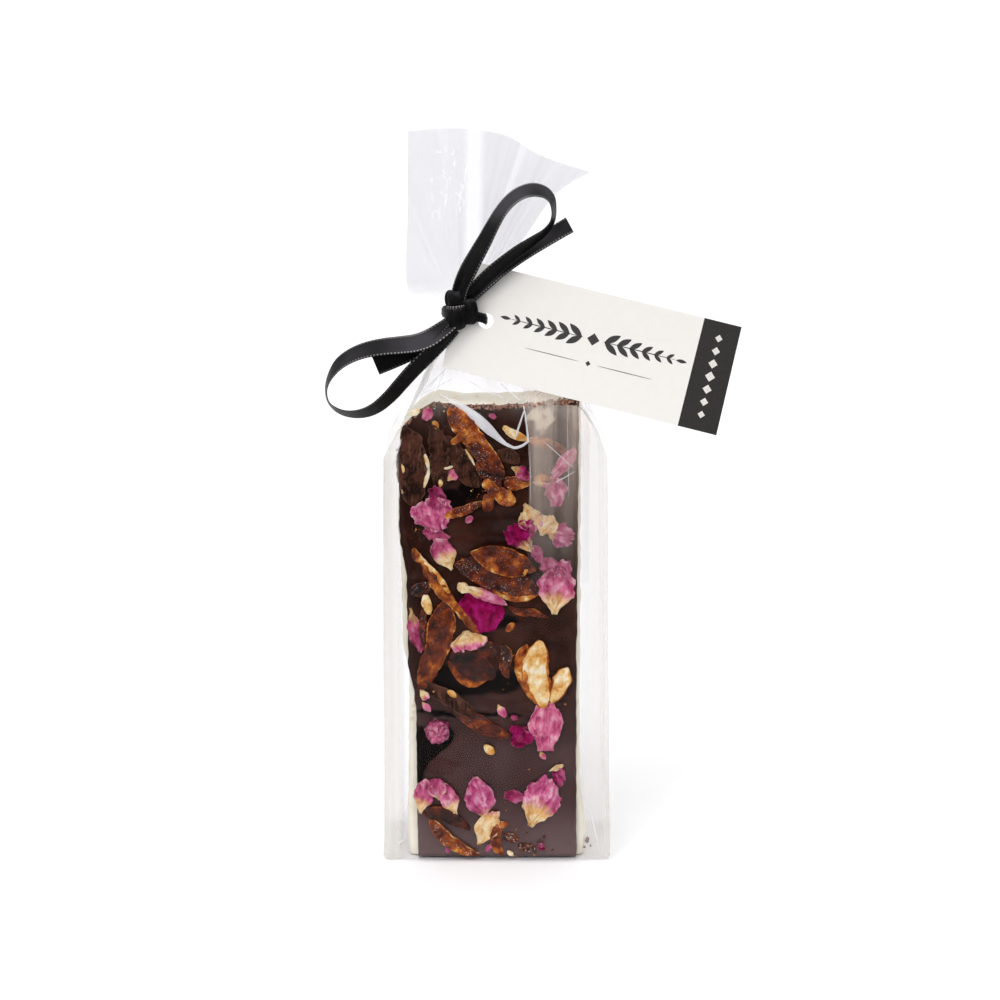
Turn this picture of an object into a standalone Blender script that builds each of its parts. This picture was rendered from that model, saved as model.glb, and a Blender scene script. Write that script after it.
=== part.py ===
"""A bar of chocolate-topped nougat in a clear block-bottom bag, tied with a satin bow and a card tag.

Metres, +Z up. The origin is the middle of the bag's base, and the chocolate side of the bar faces -Y.
The tied bag is one closed solid of its outer form: the film standing on its base, lifted by the bar
and its toppings, drawn in at the neck, and open like a fan above it.
"""
import math

import bmesh
import bpy
from mathutils import Vector

MM = 0.001

# The bag, from its base to the tie
BAG_WIDTH = 78.4 * MM
BAG_DEPTH = 44.0 * MM
BASE_ROUNDING, BASE_ROW = 1.0 * MM, 1.2 * MM
CREASE_SOFTNESS = 0.04
GUSSET_FOLD, GUSSET_FULL_AT = 2.5 * MM, 40.0 * MM
SIDE_HALF_STEPS, FRONT_STEPS = 6, 20
HALF_STEPS = 2 * SIDE_HALF_STEPS + FRONT_STEPS
BODY_ROW = 6.0 * MM

# The bar inside, which lifts the film at the front
BAR_WIDTH = 55.0 * MM
BAR_HEIGHT = 158.0 * MM
BAR_LIFT, LIFT_REACH, LIFT_SPREAD = 1.4 * MM, 4.0 * MM, 7.5 * MM

# The neck and the open fan above it
NECK = Vector((-12.0, -4.0, 188.0)) * MM
NECK_RADIUS = 3.8 * MM
NECK_PLEATS, PLEAT_DEPTH = 8, 0.7 * MM
PLEATS_START, PLEATS_FULL_AT = 160.0 * MM, 176.0 * MM
SHOULDER_ROW, NECK_TOP = 3.4 * MM, 190.0 * MM
FILM_WALL = 0.8 * MM
FAN_PUFF, MOUTH_PUFF = 1.5 * MM, 2.6 * MM
FAN_ROWS, DEEPEST_INSIDE_ROW = 8, 2

# The ribbon
RIBBON_WIDTH = 7.0 * MM
RIBBON_THICKNESS = 0.8 * MM
SQUEEZE_AT_KNOT, SQUEEZE_RUN = 0.68, 14.0 * MM
STEP_ALONG_RIBBON = 3.0 * MM
TIE_HEIGHT, TIE_THICKNESS = 3.4 * MM, 1.1 * MM
TIE_STEPS, TIE_SIDES = 36, 8

# The tag
TAG_LENGTH, TAG_HEIGHT, TAG_THICKNESS = 94.5 * MM, 36.8 * MM, 0.5 * MM
TAG_HOLE_RADIUS, PUNCH_LENGTH = 2.6 * MM, 8.0 * MM
TAG_HOLE_INSET = 11.0 * MM
TAG_HOLE = Vector((-3.7, -13.0, 185.9)) * MM
TAG_SLOPE = math.radians(12.8)
TAG_FORWARD = 0.15
TAG_LEAN_LEFT, TAG_LEAN_RIGHT = math.radians(14), math.radians(6)
TAG_COLUMNS, TAG_ROWS = 12, 4

# Height, left, right, front and back of the bag in mm, and how round it is, from 0 to 1
SHOULDERS = [
    (141.0, -38.6, 37.4, -21.8, 21.6, 0.00),
    (149.0, -34.8, 35.0, -21.6, 20.8, 0.06),
    (158.0, -30.4, 29.8, -20.8, 18.0, 0.20),
    (165.0, -27.0, 21.8, -17.0, 13.6, 0.42),
    (172.0, -23.2, 11.6, -13.0, 8.6, 0.66),
    (179.0, -19.2, 0.4, -9.8, 3.4, 0.88),
    (184.0, -16.6, -7.2, -8.2, 0.4, 1.00),
]

# Lumps that the larger toppings make in the front film: x, z, radius and height in mm
TOPPINGS = [
    (-20, 146, 11, 0.6), (-4, 137, 12, 0.7), (-21, 121, 9, 0.8), (17, 117, 10, 0.8), (5, 103, 11, 0.6),
    (-5, 88, 11, 0.8), (21, 92, 9, 0.7), (-22, 82, 10, 0.6), (16, 65, 12, 0.8), (17, 44, 9, 0.6),
    (-18, 20, 10, 0.5), (6, 18, 12, 0.5),
]

# The fan's folds, each from the neck to the mouth, in mm
FAN_FOLDS = [
    [(-15.4, -4.0, 191.5), (-22.8, -2.0, 193.4), (-30.2, 0.0, 195.4), (-30.1, 1.5, 221.0), (-29.8, 3.0, 247.7)],
    [(-14.2, -4.0, 191.5), (-17.6, -2.4, 200.0), (-20.4, -0.6, 211.0), (-19.9, 0.6, 230.0), (-18.6, 1.0, 248.8)],
    [(-12.4, -4.0, 191.5), (-11.0, -3.0, 202.0), (-9.4, -3.0, 214.0), (-8.0, -4.0, 232.0), (-7.0, -4.6, 249.0)],
    [(-11.2, -4.0, 191.5), (-7.0, -2.4, 201.0), (-1.6, -1.0, 213.0), (2.0, -1.0, 230.0), (4.3, -1.4, 246.1)],
    [(-9.8, -4.0, 191.5), (-3.4, -1.6, 200.6), (4.6, 1.0, 212.4), (10.6, 2.0, 227.0), (14.4, 2.0, 239.8)],
    [(-8.4, -4.0, 191.5), (-0.6, -0.4, 200.0), (9.0, 3.0, 211.4), (19.6, 6.0, 226.0), (31.4, 8.0, 233.5)],
]

# Ribbon routes: x, y, z in mm, and the turn of the ribbon's width out of the picture plane in degrees
LEFT_LOOP = [
    (-13.8, -16.8, 187.2, -30), (-16.9, -18.0, 184.6, -34), (-22.3, -19.0, 181.1, -36), (-27.2, -20.0, 179.5, -38),
    (-32.2, -20.4, 178.9, -40), (-38.0, -20.2, 178.3, -44), (-43.9, -19.2, 177.0, -50), (-49.0, -18.0, 174.8, -56),
    (-53.2, -16.5, 171.6, -64), (-56.0, -15.0, 167.4, -76), (-57.3, -14.0, 163.2, -82), (-56.8, -13.5, 159.0, -80),
    (-54.4, -13.5, 156.2, -70), (-50.4, -14.0, 154.6, -62), (-45.3, -15.0, 154.8, -54), (-40.5, -16.4, 157.0, -48),
    (-35.8, -17.8, 161.2, -43), (-31.7, -18.6, 165.9, -40), (-27.7, -19.0, 170.4, -38), (-22.3, -18.6, 175.8, -36),
    (-17.6, -17.4, 180.6, -30), (-14.4, -16.6, 184.2, -24),
]
RIGHT_LOOP = [
    (-13.0, -16.0, 194.0, 20), (-11.9, -17.0, 198.2, 28), (-9.9, -18.0, 202.7, 34), (-7.3, -18.6, 207.7, 40),
    (-4.3, -19.0, 213.1, 46), (-1.6, -19.0, 218.3, 52), (1.3, -18.6, 223.1, 56), (4.6, -18.0, 226.9, 56),
    (8.2, -17.0, 229.2, 56), (12.2, -16.0, 230.0, 56), (15.9, -15.0, 229.0, 62), (18.2, -14.5, 226.6, 70),
    (18.9, -14.1, 223.0, 76), (18.3, -14.0, 219.2, 74), (15.9, -14.2, 215.8, 66), (11.9, -14.6, 212.9, 56),
    (7.3, -15.0, 209.8, 50), (2.7, -15.4, 206.3, 46), (-2.0, -15.6, 202.3, 42), (-6.3, -15.6, 198.0, 36),
    (-9.6, -15.2, 194.2, 28),
]
LEFT_TAIL = [
    (-14.0, -15.2, 186.0, -20), (-17.6, -15.4, 182.8, -14), (-22.3, -15.6, 179.8, -8), (-29.0, -15.7, 176.4, -4),
    (-35.7, -15.8, 173.4, 0), (-40.6, -15.8, 171.4, 2),
]
RIGHT_TAIL = [
    (-10.3, -14.2, 193.0, 26), (-5.7, -13.0, 197.6, 36), (0.0, -12.0, 202.6, 42), (6.0, -11.2, 206.8, 46),
    (12.0, -10.6, 210.6, 46), (18.3, -10.4, 214.3, 46), (24.2, -10.4, 217.8, 44),
]
TIE = [
    (-12.0, -15.4, 188.4), (-8.0, -15.8, 188.0), (-4.9, -14.8, 187.2), (-3.7, -12.6, 186.2), (-3.9, -9.0, 186.2),
    (-5.0, -4.6, 187.0), (-8.0, -0.4, 187.8), (-12.0, 1.4, 188.0), (-16.0, -0.2, 188.0), (-18.0, -4.6, 188.0),
    (-17.9, -9.0, 188.2), (-16.2, -13.2, 188.4),
]

# The knot's lumps: centre and half size in mm
KNOT_LUMPS = [
    ((-14.4, -15.8, 194.0), (2.6, 2.4, 3.3)),
    ((-13.6, -16.2, 187.4), (3.2, 2.8, 4.2)),
    ((-9.0, -15.6, 188.6), (2.9, 2.3, 3.9)),
]


def mix(a, b, share):
    return a + (b - a) * share


def smooth(share):
    """Goes softly from 0 to 1 as share does, and stays there outside."""
    share = min(1.0, max(0.0, share))
    return share * share * (3 - 2 * share)


def along(points, t, closed=False):
    """The point at share t of the way along a smooth curve through points, of any number of coordinates."""
    count = len(points)
    spans = count if closed else count - 1
    span = min(int(t * spans), spans - 1)
    f = t * spans - span
    four = [span + k for k in (-1, 0, 1, 2)]
    if not closed:
        four = [min(max(k, 0), count - 1) for k in four]
    return tuple(
        b + 0.5 * f * (c - a + f * (2 * a - 5 * b + 4 * c - d + f * (3 * b - 3 * c + d - a)))
        for a, b, c, d in zip(*(points[k % count] for k in four))
    )


def material(name, colour, roughness, alpha=1.0):
    made = bpy.data.materials.new(name)
    made.use_nodes = True
    shader = made.node_tree.nodes["Principled BSDF"]
    shader.inputs["Base Color"].default_value = (*colour, 1.0)
    shader.inputs["Roughness"].default_value = roughness
    shader.inputs["Metallic"].default_value = 0.0
    shader.inputs["Alpha"].default_value = alpha
    return made


def lofted(name, rings, finish, closed=False):
    """One solid through rings of points, each ring extruded from the last, with flat ends unless closed."""
    bm = bmesh.new()
    first = bmesh.ops.create_circle(bm, segments=len(rings[0]), radius=1.0)["verts"]
    for vert, place in zip(first, rings[0]):
        vert.co = place
    edges = list(bm.edges)
    if not closed:
        bm.faces.new(first)
    ring = first
    for places in rings[1:]:
        made = bmesh.ops.extrude_edge_only(bm, edges=edges)["geom"]
        new = {v for v in made if isinstance(v, bmesh.types.BMVert)}
        edges = [e for e in made if isinstance(e, bmesh.types.BMEdge) and set(e.verts) <= new]
        ring = [next(e.other_vert(v) for e in v.link_edges if e.other_vert(v) in new) for v in ring]
        for vert, place in zip(ring, places):
            vert.co = place
    if closed:
        bmesh.ops.bridge_loops(bm, edges=edges + [e for e in bm.edges if set(e.verts) <= set(first)])
    else:
        bm.faces.new(ring)
    bmesh.ops.recalc_face_normals(bm, faces=bm.faces)
    mesh = bpy.data.meshes.new(name)
    bm.to_mesh(mesh)
    bm.free()
    return placed(name, mesh, finish)


def placed(name, mesh, finish):
    mesh.materials.append(finish)
    mesh.shade_smooth()
    mesh.set_sharp_from_angle(angle=math.radians(35))
    made = bpy.data.objects.new(name, mesh)
    bpy.context.scene.collection.objects.link(made)
    return made


def film_lift(x, z):
    """How far the bar and its toppings push the front film forward."""
    over_bar = smooth((BAR_WIDTH / 2 + LIFT_REACH - abs(x)) / LIFT_SPREAD)
    over_bar *= smooth((BAR_HEIGHT + LIFT_REACH - z) / LIFT_SPREAD)
    lump = max(
        height * MM * (1 - ((x / MM - middle_x) ** 2 + (z / MM - middle_z) ** 2) / radius ** 2)
        for middle_x, middle_z, radius, height in TOPPINGS
    )
    return over_bar * (BAR_LIFT + max(0.0, lump))


def shoulder(z):
    """The bag's left, right, front and back at height z, and how round it is there."""
    lowest = SHOULDERS[0]
    if z <= lowest[0] * MM:
        share = z / (lowest[0] * MM)
        left = mix(-BAG_WIDTH / 2, lowest[1] * MM, share)
        right = mix(BAG_WIDTH / 2, lowest[2] * MM, share)
        return left, right, -BAG_DEPTH / 2, BAG_DEPTH / 2, 0.0
    for low, high in zip(SHOULDERS, SHOULDERS[1:]):
        if z <= high[0] * MM:
            share = (z / MM - low[0]) / (high[0] - low[0])
            sides = [mix(a, b, share) * MM for a, b in zip(low[1:5], high[1:5])]
            return *sides, mix(low[5], high[5], share)
    r = NECK_RADIUS
    return NECK.x - r, NECK.x + r, NECK.y - r, NECK.y + r, 1.0


def on_square(step):
    """Where a step is on the front half of a square outline, from the left side's middle to the right's."""
    if step <= SIDE_HALF_STEPS:
        return -1.0, -step / SIDE_HALF_STEPS
    if step >= HALF_STEPS - SIDE_HALF_STEPS:
        return 1.0, -(HALF_STEPS - step) / SIDE_HALF_STEPS
    return 2 * (step - SIDE_HALF_STEPS) / FRONT_STEPS - 1, -1.0


def bag_ring(z, inset=0.0):
    """The bag's outline at height z, from the left side's middle round the front, the right side and the back."""
    left, right, front, back, around = shoulder(z)
    middle = Vector(((left + right) / 2, (front + back) / 2, z))
    half_x, half_y = (right - left) / 2 - inset, (back - front) / 2 - inset
    round_share = mix(CREASE_SOFTNESS, 1.0, around)
    gusset = GUSSET_FOLD * (1 - around) * smooth(z / GUSSET_FULL_AT)
    pleat = PLEAT_DEPTH * smooth((z - PLEATS_START) / (PLEATS_FULL_AT - PLEATS_START))
    ring = []
    for half in (1, -1):
        for step in range(HALF_STEPS):
            u, v = on_square(step)
            turn = math.pi * step / HALF_STEPS
            x = half * half_x * mix(u, -math.cos(turn), round_share)
            y = half * half_y * mix(v, -math.sin(turn), round_share)
            if abs(u) == 1.0:
                x -= math.copysign(gusset * (1 - abs(v)), x)
            around_neck = math.atan2(y, x)
            x += pleat * math.cos(NECK_PLEATS * around_neck) * math.cos(around_neck)
            y += pleat * math.cos(NECK_PLEATS * around_neck) * math.sin(around_neck)
            if half == 1 and v == -1.0:
                y -= film_lift(middle.x + x, z) * (1 - around)
            ring.append(middle + Vector((x, y, 0)))
    return ring


def fan_ring(share, wall):
    """The open fan's outline at share of the way from the neck to its mouth, taken in by wall."""
    row = [Vector(along(fold, share)) * MM for fold in FAN_FOLDS]
    taken_in = wall / (row[-1] - row[0]).length
    puff = mix(NECK_RADIUS, FAN_PUFF, smooth(share * 3)) + (MOUTH_PUFF - FAN_PUFF) * share ** 2 - wall
    ring = []
    for half in (-1, 1):
        for step in range(HALF_STEPS):
            across = step / HALF_STEPS if half < 0 else 1 - step / HALF_STEPS
            bulge = puff * math.sqrt(1 - (2 * across - 1) ** 2)
            ring.append(Vector(along(row, mix(taken_in, 1 - taken_in, across))) + Vector((0, half * bulge, 0)))
    return ring


def bag():
    film = material("clear_film", (0.86, 0.87, 0.85), 0.12, alpha=0.35)
    straight = [BODY_ROW * k for k in range(1, int(SHOULDERS[0][0] * MM / BODY_ROW) + 1)]
    rows = round((NECK_TOP - straight[-1]) / SHOULDER_ROW)
    drawn_in = [mix(straight[-1], NECK_TOP, (k + 1) / rows) for k in range(rows)]
    outside = [bag_ring(0.0, BASE_ROUNDING)]
    outside += [bag_ring(z) for z in [BASE_ROW] + straight + drawn_in]
    outside += [fan_ring(k / FAN_ROWS, 0.0) for k in range(FAN_ROWS + 1)]
    inside = [fan_ring(k / FAN_ROWS, FILM_WALL) for k in range(FAN_ROWS, DEEPEST_INSIDE_ROW - 1, -1)]
    return lofted("bag", outside + inside, film)


def ribbon_strip(name, route, finish, free_end=False):
    """A flat ribbon along route, its width turned out of the picture plane by each point's angle."""
    length = sum((Vector(b[:3]) - Vector(a[:3])).length for a, b in zip(route, route[1:])) * MM
    steps = max(4, round(length / STEP_ALONG_RIBBON))
    rings = []
    for k in range(steps + 1):
        t = k / steps
        x, y, z, turn = along(route, t)
        ahead = Vector(along(route, min(1.0, t + 0.01))[:3]) - Vector(along(route, max(0.0, t - 0.01))[:3])
        ahead.normalize()
        flat = Vector((-ahead.z, 0, ahead.x)).normalized()
        width = flat * math.cos(math.radians(turn)) + Vector((0, 1, 0)) * math.sin(math.radians(turn))
        width = (width - ahead * width.dot(ahead)).normalized()
        thick = ahead.cross(width)
        to_knot = t if free_end else min(t, 1 - t)
        half = RIBBON_WIDTH / 2 * mix(SQUEEZE_AT_KNOT, 1.0, smooth(to_knot * length / SQUEEZE_RUN))
        centre = Vector((x, y, z)) * MM
        rings.append([
            centre + width * half * a + thick * RIBBON_THICKNESS / 2 * b
            for a, b in ((-1, -1), (1, -1), (1, 1), (-1, 1))
        ])
    return lofted(name, rings, finish)


def tie_band(finish):
    """The crumpled ribbon round the neck, through the tag's hole."""
    rings = []
    for k in range(TIE_STEPS):
        centre = Vector(along(TIE, k / TIE_STEPS, closed=True)) * MM
        ahead = Vector(along(TIE, (k + 0.5) / TIE_STEPS, closed=True)) * MM - centre
        side = Vector((ahead.y, -ahead.x, 0)).normalized() * TIE_THICKNESS / 2
        up = Vector((0, 0, TIE_HEIGHT / 2))
        turns = [2 * math.pi * c / TIE_SIDES for c in range(TIE_SIDES)]
        rings.append([centre + side * math.cos(turn) + up * math.sin(turn) for turn in turns])
    return lofted("tie", rings, finish, closed=True)


def knot_lump(centre, half, finish):
    """A rounded lump of the knot, where the ribbon is folded on itself."""
    bm = bmesh.new()
    bmesh.ops.create_icosphere(bm, subdivisions=2, radius=1.0)
    bmesh.ops.scale(bm, vec=Vector(half) * MM, verts=bm.verts)
    bmesh.ops.translate(bm, vec=Vector(centre) * MM, verts=bm.verts)
    mesh = bpy.data.meshes.new("lump")
    bm.to_mesh(mesh)
    bm.free()
    return placed("lump", mesh, finish)


def joined(name, pieces):
    """Makes the pieces one solid, by a Boolean union of the first with a collection of the rest."""
    body, others = pieces[0], pieces[1:]
    group = bpy.data.collections.new("to_join")
    for piece in others:
        group.objects.link(piece)
    union = body.modifiers.new("union", "BOOLEAN")
    union.operation = "UNION"
    union.operand_type = "COLLECTION"
    union.collection = group
    union.solver = "MANIFOLD"
    bpy.context.view_layer.update()
    solid = bpy.data.meshes.new_from_object(body.evaluated_get(bpy.context.evaluated_depsgraph_get()))
    body.modifiers.clear()
    body.data = solid
    body.name = name
    for piece in others:
        bpy.data.objects.remove(piece)
    bpy.data.collections.remove(group)
    return body


def ribbon():
    satin = material("black_satin", (0.02, 0.02, 0.022), 0.4)
    pieces = [tie_band(satin)]
    pieces += [ribbon_strip("left_loop", LEFT_LOOP, satin), ribbon_strip("right_loop", RIGHT_LOOP, satin)]
    pieces += [ribbon_strip("left_tail", LEFT_TAIL, satin, free_end=True)]
    pieces += [ribbon_strip("right_tail", RIGHT_TAIL, satin, free_end=True)]
    pieces += [knot_lump(centre, half, satin) for centre, half in KNOT_LUMPS]
    return joined("ribbon", pieces)


def tag_point(reach, rise, front):
    """A point of the tag: reach along it from the hole, rise above its middle line, and front out of its face."""
    share = (reach + TAG_HOLE_INSET) / TAG_LENGTH
    lean = TAG_LEAN_LEFT + (TAG_LEAN_RIGHT - TAG_LEAN_LEFT) * share
    level = math.sqrt(1 - TAG_FORWARD ** 2)
    length = Vector((math.cos(TAG_SLOPE) * level, -TAG_FORWARD, -math.sin(TAG_SLOPE) * level))
    upright = Vector((math.sin(TAG_SLOPE), 0, math.cos(TAG_SLOPE)))
    height = upright * math.cos(lean) + Vector((0, 1, 0)) * math.sin(lean)
    face = length.cross(height).normalized()
    return TAG_HOLE + length * reach + height * rise + face * front


def tag():
    card = material("tag_card", (0.91, 0.89, 0.85), 0.6)
    rises = [TAG_HEIGHT * (r / TAG_ROWS - 0.5) for r in range(TAG_ROWS + 1)]
    rings = []
    for k in range(TAG_COLUMNS + 1):
        reach = TAG_LENGTH * k / TAG_COLUMNS - TAG_HOLE_INSET
        front = [tag_point(reach, rise, TAG_THICKNESS / 2) for rise in rises]
        rings.append(front + [tag_point(reach, rise, -TAG_THICKNESS / 2) for rise in reversed(rises)])
    made = lofted("tag", rings, card)
    hole = made.modifiers.new("hole", "BOOLEAN")
    hole.operation = "DIFFERENCE"
    hole.object = hole_punch()
    hole.solver = "EXACT"
    return made


def hole_punch():
    """The round cutter that stands square on the tag at its hole."""
    bm = bmesh.new()
    bmesh.ops.create_cone(
        bm, cap_ends=True, segments=24, radius1=TAG_HOLE_RADIUS, radius2=TAG_HOLE_RADIUS, depth=PUNCH_LENGTH
    )
    mesh = bpy.data.meshes.new("punch")
    bm.to_mesh(mesh)
    bm.free()
    punch = bpy.data.objects.new("punch", mesh)
    bpy.context.scene.collection.objects.link(punch)
    punch.location = TAG_HOLE
    punch.rotation_euler = (tag_point(0, 0, 1) - tag_point(0, 0, 0)).to_track_quat("Z", "Y").to_euler()
    punch.hide_render = True
    punch.display_type = "WIRE"
    return punch


def main():
    for thing in list(bpy.data.objects):
        bpy.data.objects.remove(thing)
    bag()
    ribbon()
    tag()


main()
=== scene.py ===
"""Looks of a nougat bar in its tied clear bag: film, bar, toppings, satin bow and card tag.

Metres, +Z up, and the chocolate face towards -Y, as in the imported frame. Places and sizes in the lists and in
the functions that shape a piece are in millimetres.
"""
import math
import random

import bmesh
import bpy
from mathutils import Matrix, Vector, noise


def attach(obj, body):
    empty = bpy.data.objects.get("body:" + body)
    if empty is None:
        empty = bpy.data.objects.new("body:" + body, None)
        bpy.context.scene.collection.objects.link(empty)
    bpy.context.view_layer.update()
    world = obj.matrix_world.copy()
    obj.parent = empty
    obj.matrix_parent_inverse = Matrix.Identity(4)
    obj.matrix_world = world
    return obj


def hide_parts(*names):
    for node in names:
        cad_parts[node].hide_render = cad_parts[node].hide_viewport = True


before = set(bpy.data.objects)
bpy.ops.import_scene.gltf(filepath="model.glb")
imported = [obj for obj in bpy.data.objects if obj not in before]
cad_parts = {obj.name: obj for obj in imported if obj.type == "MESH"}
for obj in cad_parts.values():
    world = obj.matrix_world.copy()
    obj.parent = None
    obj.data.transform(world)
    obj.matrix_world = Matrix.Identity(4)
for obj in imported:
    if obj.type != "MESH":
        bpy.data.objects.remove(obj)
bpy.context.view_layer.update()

MM = 0.001

# The bag's driving sizes, as its solid has them
BAG_WIDTH, BAG_DEPTH, BASE_ROUNDING = 78.4, 44.0, 1.0
CREASE_SOFTNESS = 0.02
GUSSET_FOLD, GUSSET_FULL_AT = 2.5, 40.0
SIDE_HALF_STEPS, HALF_STEPS = 6, 32
BAR_WIDTH, BAR_HEIGHT = 55.0, 158.0
BAR_LIFT, LIFT_REACH, LIFT_SPREAD = 1.4, 4.0, 7.5
NECK = Vector((-12.2, -4.6, 188.0))
NECK_HALF_WIDTH, NECK_HALF_DEPTH, NECK_TOP = 5.0, 5.2, 190.0
FAN_PUFF, MOUTH_PUFF = 1.5, 2.6
RIBBON_WIDTH, RIBBON_THICKNESS = 7.0, 0.4
SQUEEZE_AT_KNOT, SQUEEZE_RUN = 0.78, 12.0
TIE_HEIGHT, TIE_THICKNESS = 3.4, 1.1
TAG_LENGTH, TAG_THICKNESS = 94.5, 0.5
TAG_HOLE_INSET, TAG_BAND = 11.0, 12.9
TAG_HOLE = Vector((-3.7, -13.0, 185.9))
TAG_SLOPE, TAG_FORWARD = math.radians(12.8), 0.15
TAG_LEAN_LEFT, TAG_LEAN_RIGHT = math.radians(14), math.radians(6)

# Walls of the thin pieces, and the room that toppings and folds keep to the film
PETAL_WALL, CREASE_WALL, INK_WALL = 0.14, 0.03, 0.02
FILM_ROOM, VEIL_ROOM, FLAP_ROOM = 0.35, 0.75, 0.7

# How far the print stands off the card, how far apart the ribbon's stitches are, and how many crumbs lie
# along the bar's broken top edge
INK_LIFT, STITCH_PITCH, EDGE_CRUMBS = 0.035, 1.05, 620

# Points of a mesh nearer than this are one, in metres, and a face smaller than this has no area
WELD, NO_AREA = 0.00001, 1e-13

# The stage, in metres
FLOOR_WIDTH, FLOOR_FRONT, FLOOR_DROP = 160.0, 0.36, 0.0004
CAMERA_TARGET, CAMERA_RISE = Vector((0.001, 0, 0.122)), math.radians(12)

# Height, left, right, front and back of the bag, and how round it is, from 0 to 1
SHOULDERS = [
    (141, -38.6, 37.4, -21.8, 21.6, 0), (149, -34.8, 35, -21.6, 20.8, 0.06),
    (158, -30.4, 29.8, -20.8, 18, 0.2), (165, -27, 21.8, -17, 13.6, 0.42),
    (172, -23.2, 11.6, -13, 8.6, 0.66), (179, -19.4, 0.4, -10.8, 3.4, 0.88), (184, -17.1, -7, -10, 0.8, 1),
]

# Lumps that the larger toppings make in the front film: x, z, radius and height
FILM_LUMPS = [
    (-20, 146, 11, 0.6), (-4, 137, 12, 0.7), (-21, 121, 9, 0.8), (17, 117, 10, 0.8), (5, 103, 11, 0.6),
    (-5, 88, 11, 0.8), (21, 92, 9, 0.7), (-22, 82, 10, 0.6), (16, 65, 12, 0.8), (17, 44, 9, 0.6),
    (-18, 20, 10, 0.5), (6, 18, 12, 0.5),
]

# Creases of the front film: from x, z to x, z, and width
CREASES = [
    (-16.9, 170, -34.4, 152.4, 0.8), (-15, 166.6, -28.3, 159.8, 0.5), (-20.3, 162.5, -17.6, 169.3, 0.5),
    (-9.6, 165.9, 5, 159.2, 0.5), (1, 165.2, 9, 159.2, 0.6), (9, 159.2, 16, 163.2, 0.5),
    (20, 161.9, 31.7, 156.5, 0.6), (31.7, 156.5, 35.1, 144.9, 0.8), (27, 159.2, 28.8, 136.7, 0.4),
    (14.7, 147.6, 26.1, 137.4, 0.3), (26.1, 136.7, 19.1, 132.6, 0.3), (23.3, 159.8, 24.1, 126.5, 0.2),
    (-37.4, 143.6, -33.7, 151, 0.8), (11, 144.9, 11.4, 123, 0.2), (31.2, 21.3, 35.4, 2.6, 0.5),
    (-31.7, 7.6, -37.9, 3.3, 0.5), (-31, 150.4, -35.2, 136.7, 0.5), (-25.6, 164.6, -31.7, 156.5, 0.5),
    (-39.5, 56.9, -38.7, 28.4, 0.5), (36.1, 91.9, 36.4, 56.9, 0.5),
]

# The turned flap and its creases: how far each is raised, and its route of x, z and width
FLAP_ROUTES = [
    (0.9, [(-19, 161.9, 0.4), (-15.7, 160.2, 1.2), (-11.3, 157.8, 2.3), (-6.7, 154.4, 3.3), (-3, 151, 3.3),
           (0.3, 148, 2), (3.3, 145.6, 1.1), (5.7, 144.6, 0.8)]),
    (0.5, [(3.3, 145.9, 0.8), (5.7, 144.6, 1), (8.4, 145.3, 0.9), (10.7, 147, 0.7)]),
    (0.5, [(10.4, 147, 0.7), (10, 151, 0.6), (9.3, 156.5, 0.5), (8.7, 158.8, 0.3)]),
    (0.5, [(6, 147.6, 0.4), (7.3, 151.7, 0.7), (9, 156.8, 0.4)]),
]

# The fan's folds, each from the neck to the mouth
FAN_FOLDS = [
    [(-15.4, -4, 191.5), (-22.8, -2, 193.4), (-30.2, 0, 195.4), (-30.1, 1.5, 221), (-29.8, 3, 247.7)],
    [(-14.2, -4, 191.5), (-17.6, -2.4, 200), (-20.4, -0.6, 211), (-19.9, 0.6, 230), (-18.6, 1, 248.8)],
    [(-12.4, -4, 191.5), (-11, -3, 202), (-9.4, -3, 214), (-8, -4, 232), (-7, -4.6, 249)],
    [(-11.2, -4, 191.5), (-7, -2.4, 201), (-1.6, -1, 213), (2, -1, 230), (4.3, -1.4, 246.1)],
    [(-9.8, -4, 191.5), (-3.4, -1.6, 200.6), (4.6, 1, 212.4), (10.6, 2, 227), (14.4, 2, 239.8)],
    [(-8.4, -4, 191.5), (-0.6, -0.4, 200), (9, 3, 211.4), (19.6, 6, 226), (31.4, 8, 233.5)],
]

# Ribbon routes: x, y, z, and the turn of the ribbon's width out of the picture plane in degrees
LEFT_LOOP = [
    (-13.8, -16.8, 187.2, -30), (-16.9, -18, 184.6, -34), (-22.3, -19, 181.1, -36),
    (-27.2, -20, 179.5, -38), (-32.2, -20.4, 178.9, -40), (-38, -20.2, 178.3, -44),
    (-43.9, -19.2, 177, -50), (-49, -18, 174.8, -56), (-53.2, -16.5, 171.6, -64), (-56, -15, 167.4, -76),
    (-57.3, -14, 163.2, -82), (-56.8, -13.5, 159, -80), (-54.4, -13.5, 156.2, -70),
    (-50.4, -14, 154.6, -62), (-45.3, -15, 154.8, -54), (-40.5, -16.4, 157, -48),
    (-35.8, -17.8, 161.2, -43), (-31.7, -18.6, 165.9, -40), (-27.7, -19, 170.4, -38),
    (-22.3, -18.6, 175.8, -36), (-17.6, -17.4, 180.6, -30), (-14.4, -16.6, 184.2, -24),
]
RIGHT_LOOP = [
    (-13, -16, 194, 20), (-11.9, -17, 198.2, 28), (-9.9, -18, 202.7, 34), (-7.3, -18.6, 207.7, 40),
    (-4.3, -19, 213.1, 46), (-1.6, -19, 218.3, 52), (1.3, -18.6, 223.1, 56), (4.6, -18, 226.9, 56),
    (8.2, -17, 229.2, 56), (12.2, -16, 230, 56), (15.9, -15, 229, 62), (18.2, -14.5, 226.6, 70),
    (18.9, -14.1, 223, 76), (18.3, -14, 219.2, 74), (15.9, -14.2, 215.8, 66), (11.9, -14.6, 212.9, 56),
    (7.3, -15, 209.8, 50), (2.7, -15.4, 206.3, 46), (-2, -15.6, 202.3, 42), (-6.3, -15.6, 198, 36),
    (-9.6, -15.2, 194.2, 28),
]
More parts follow.
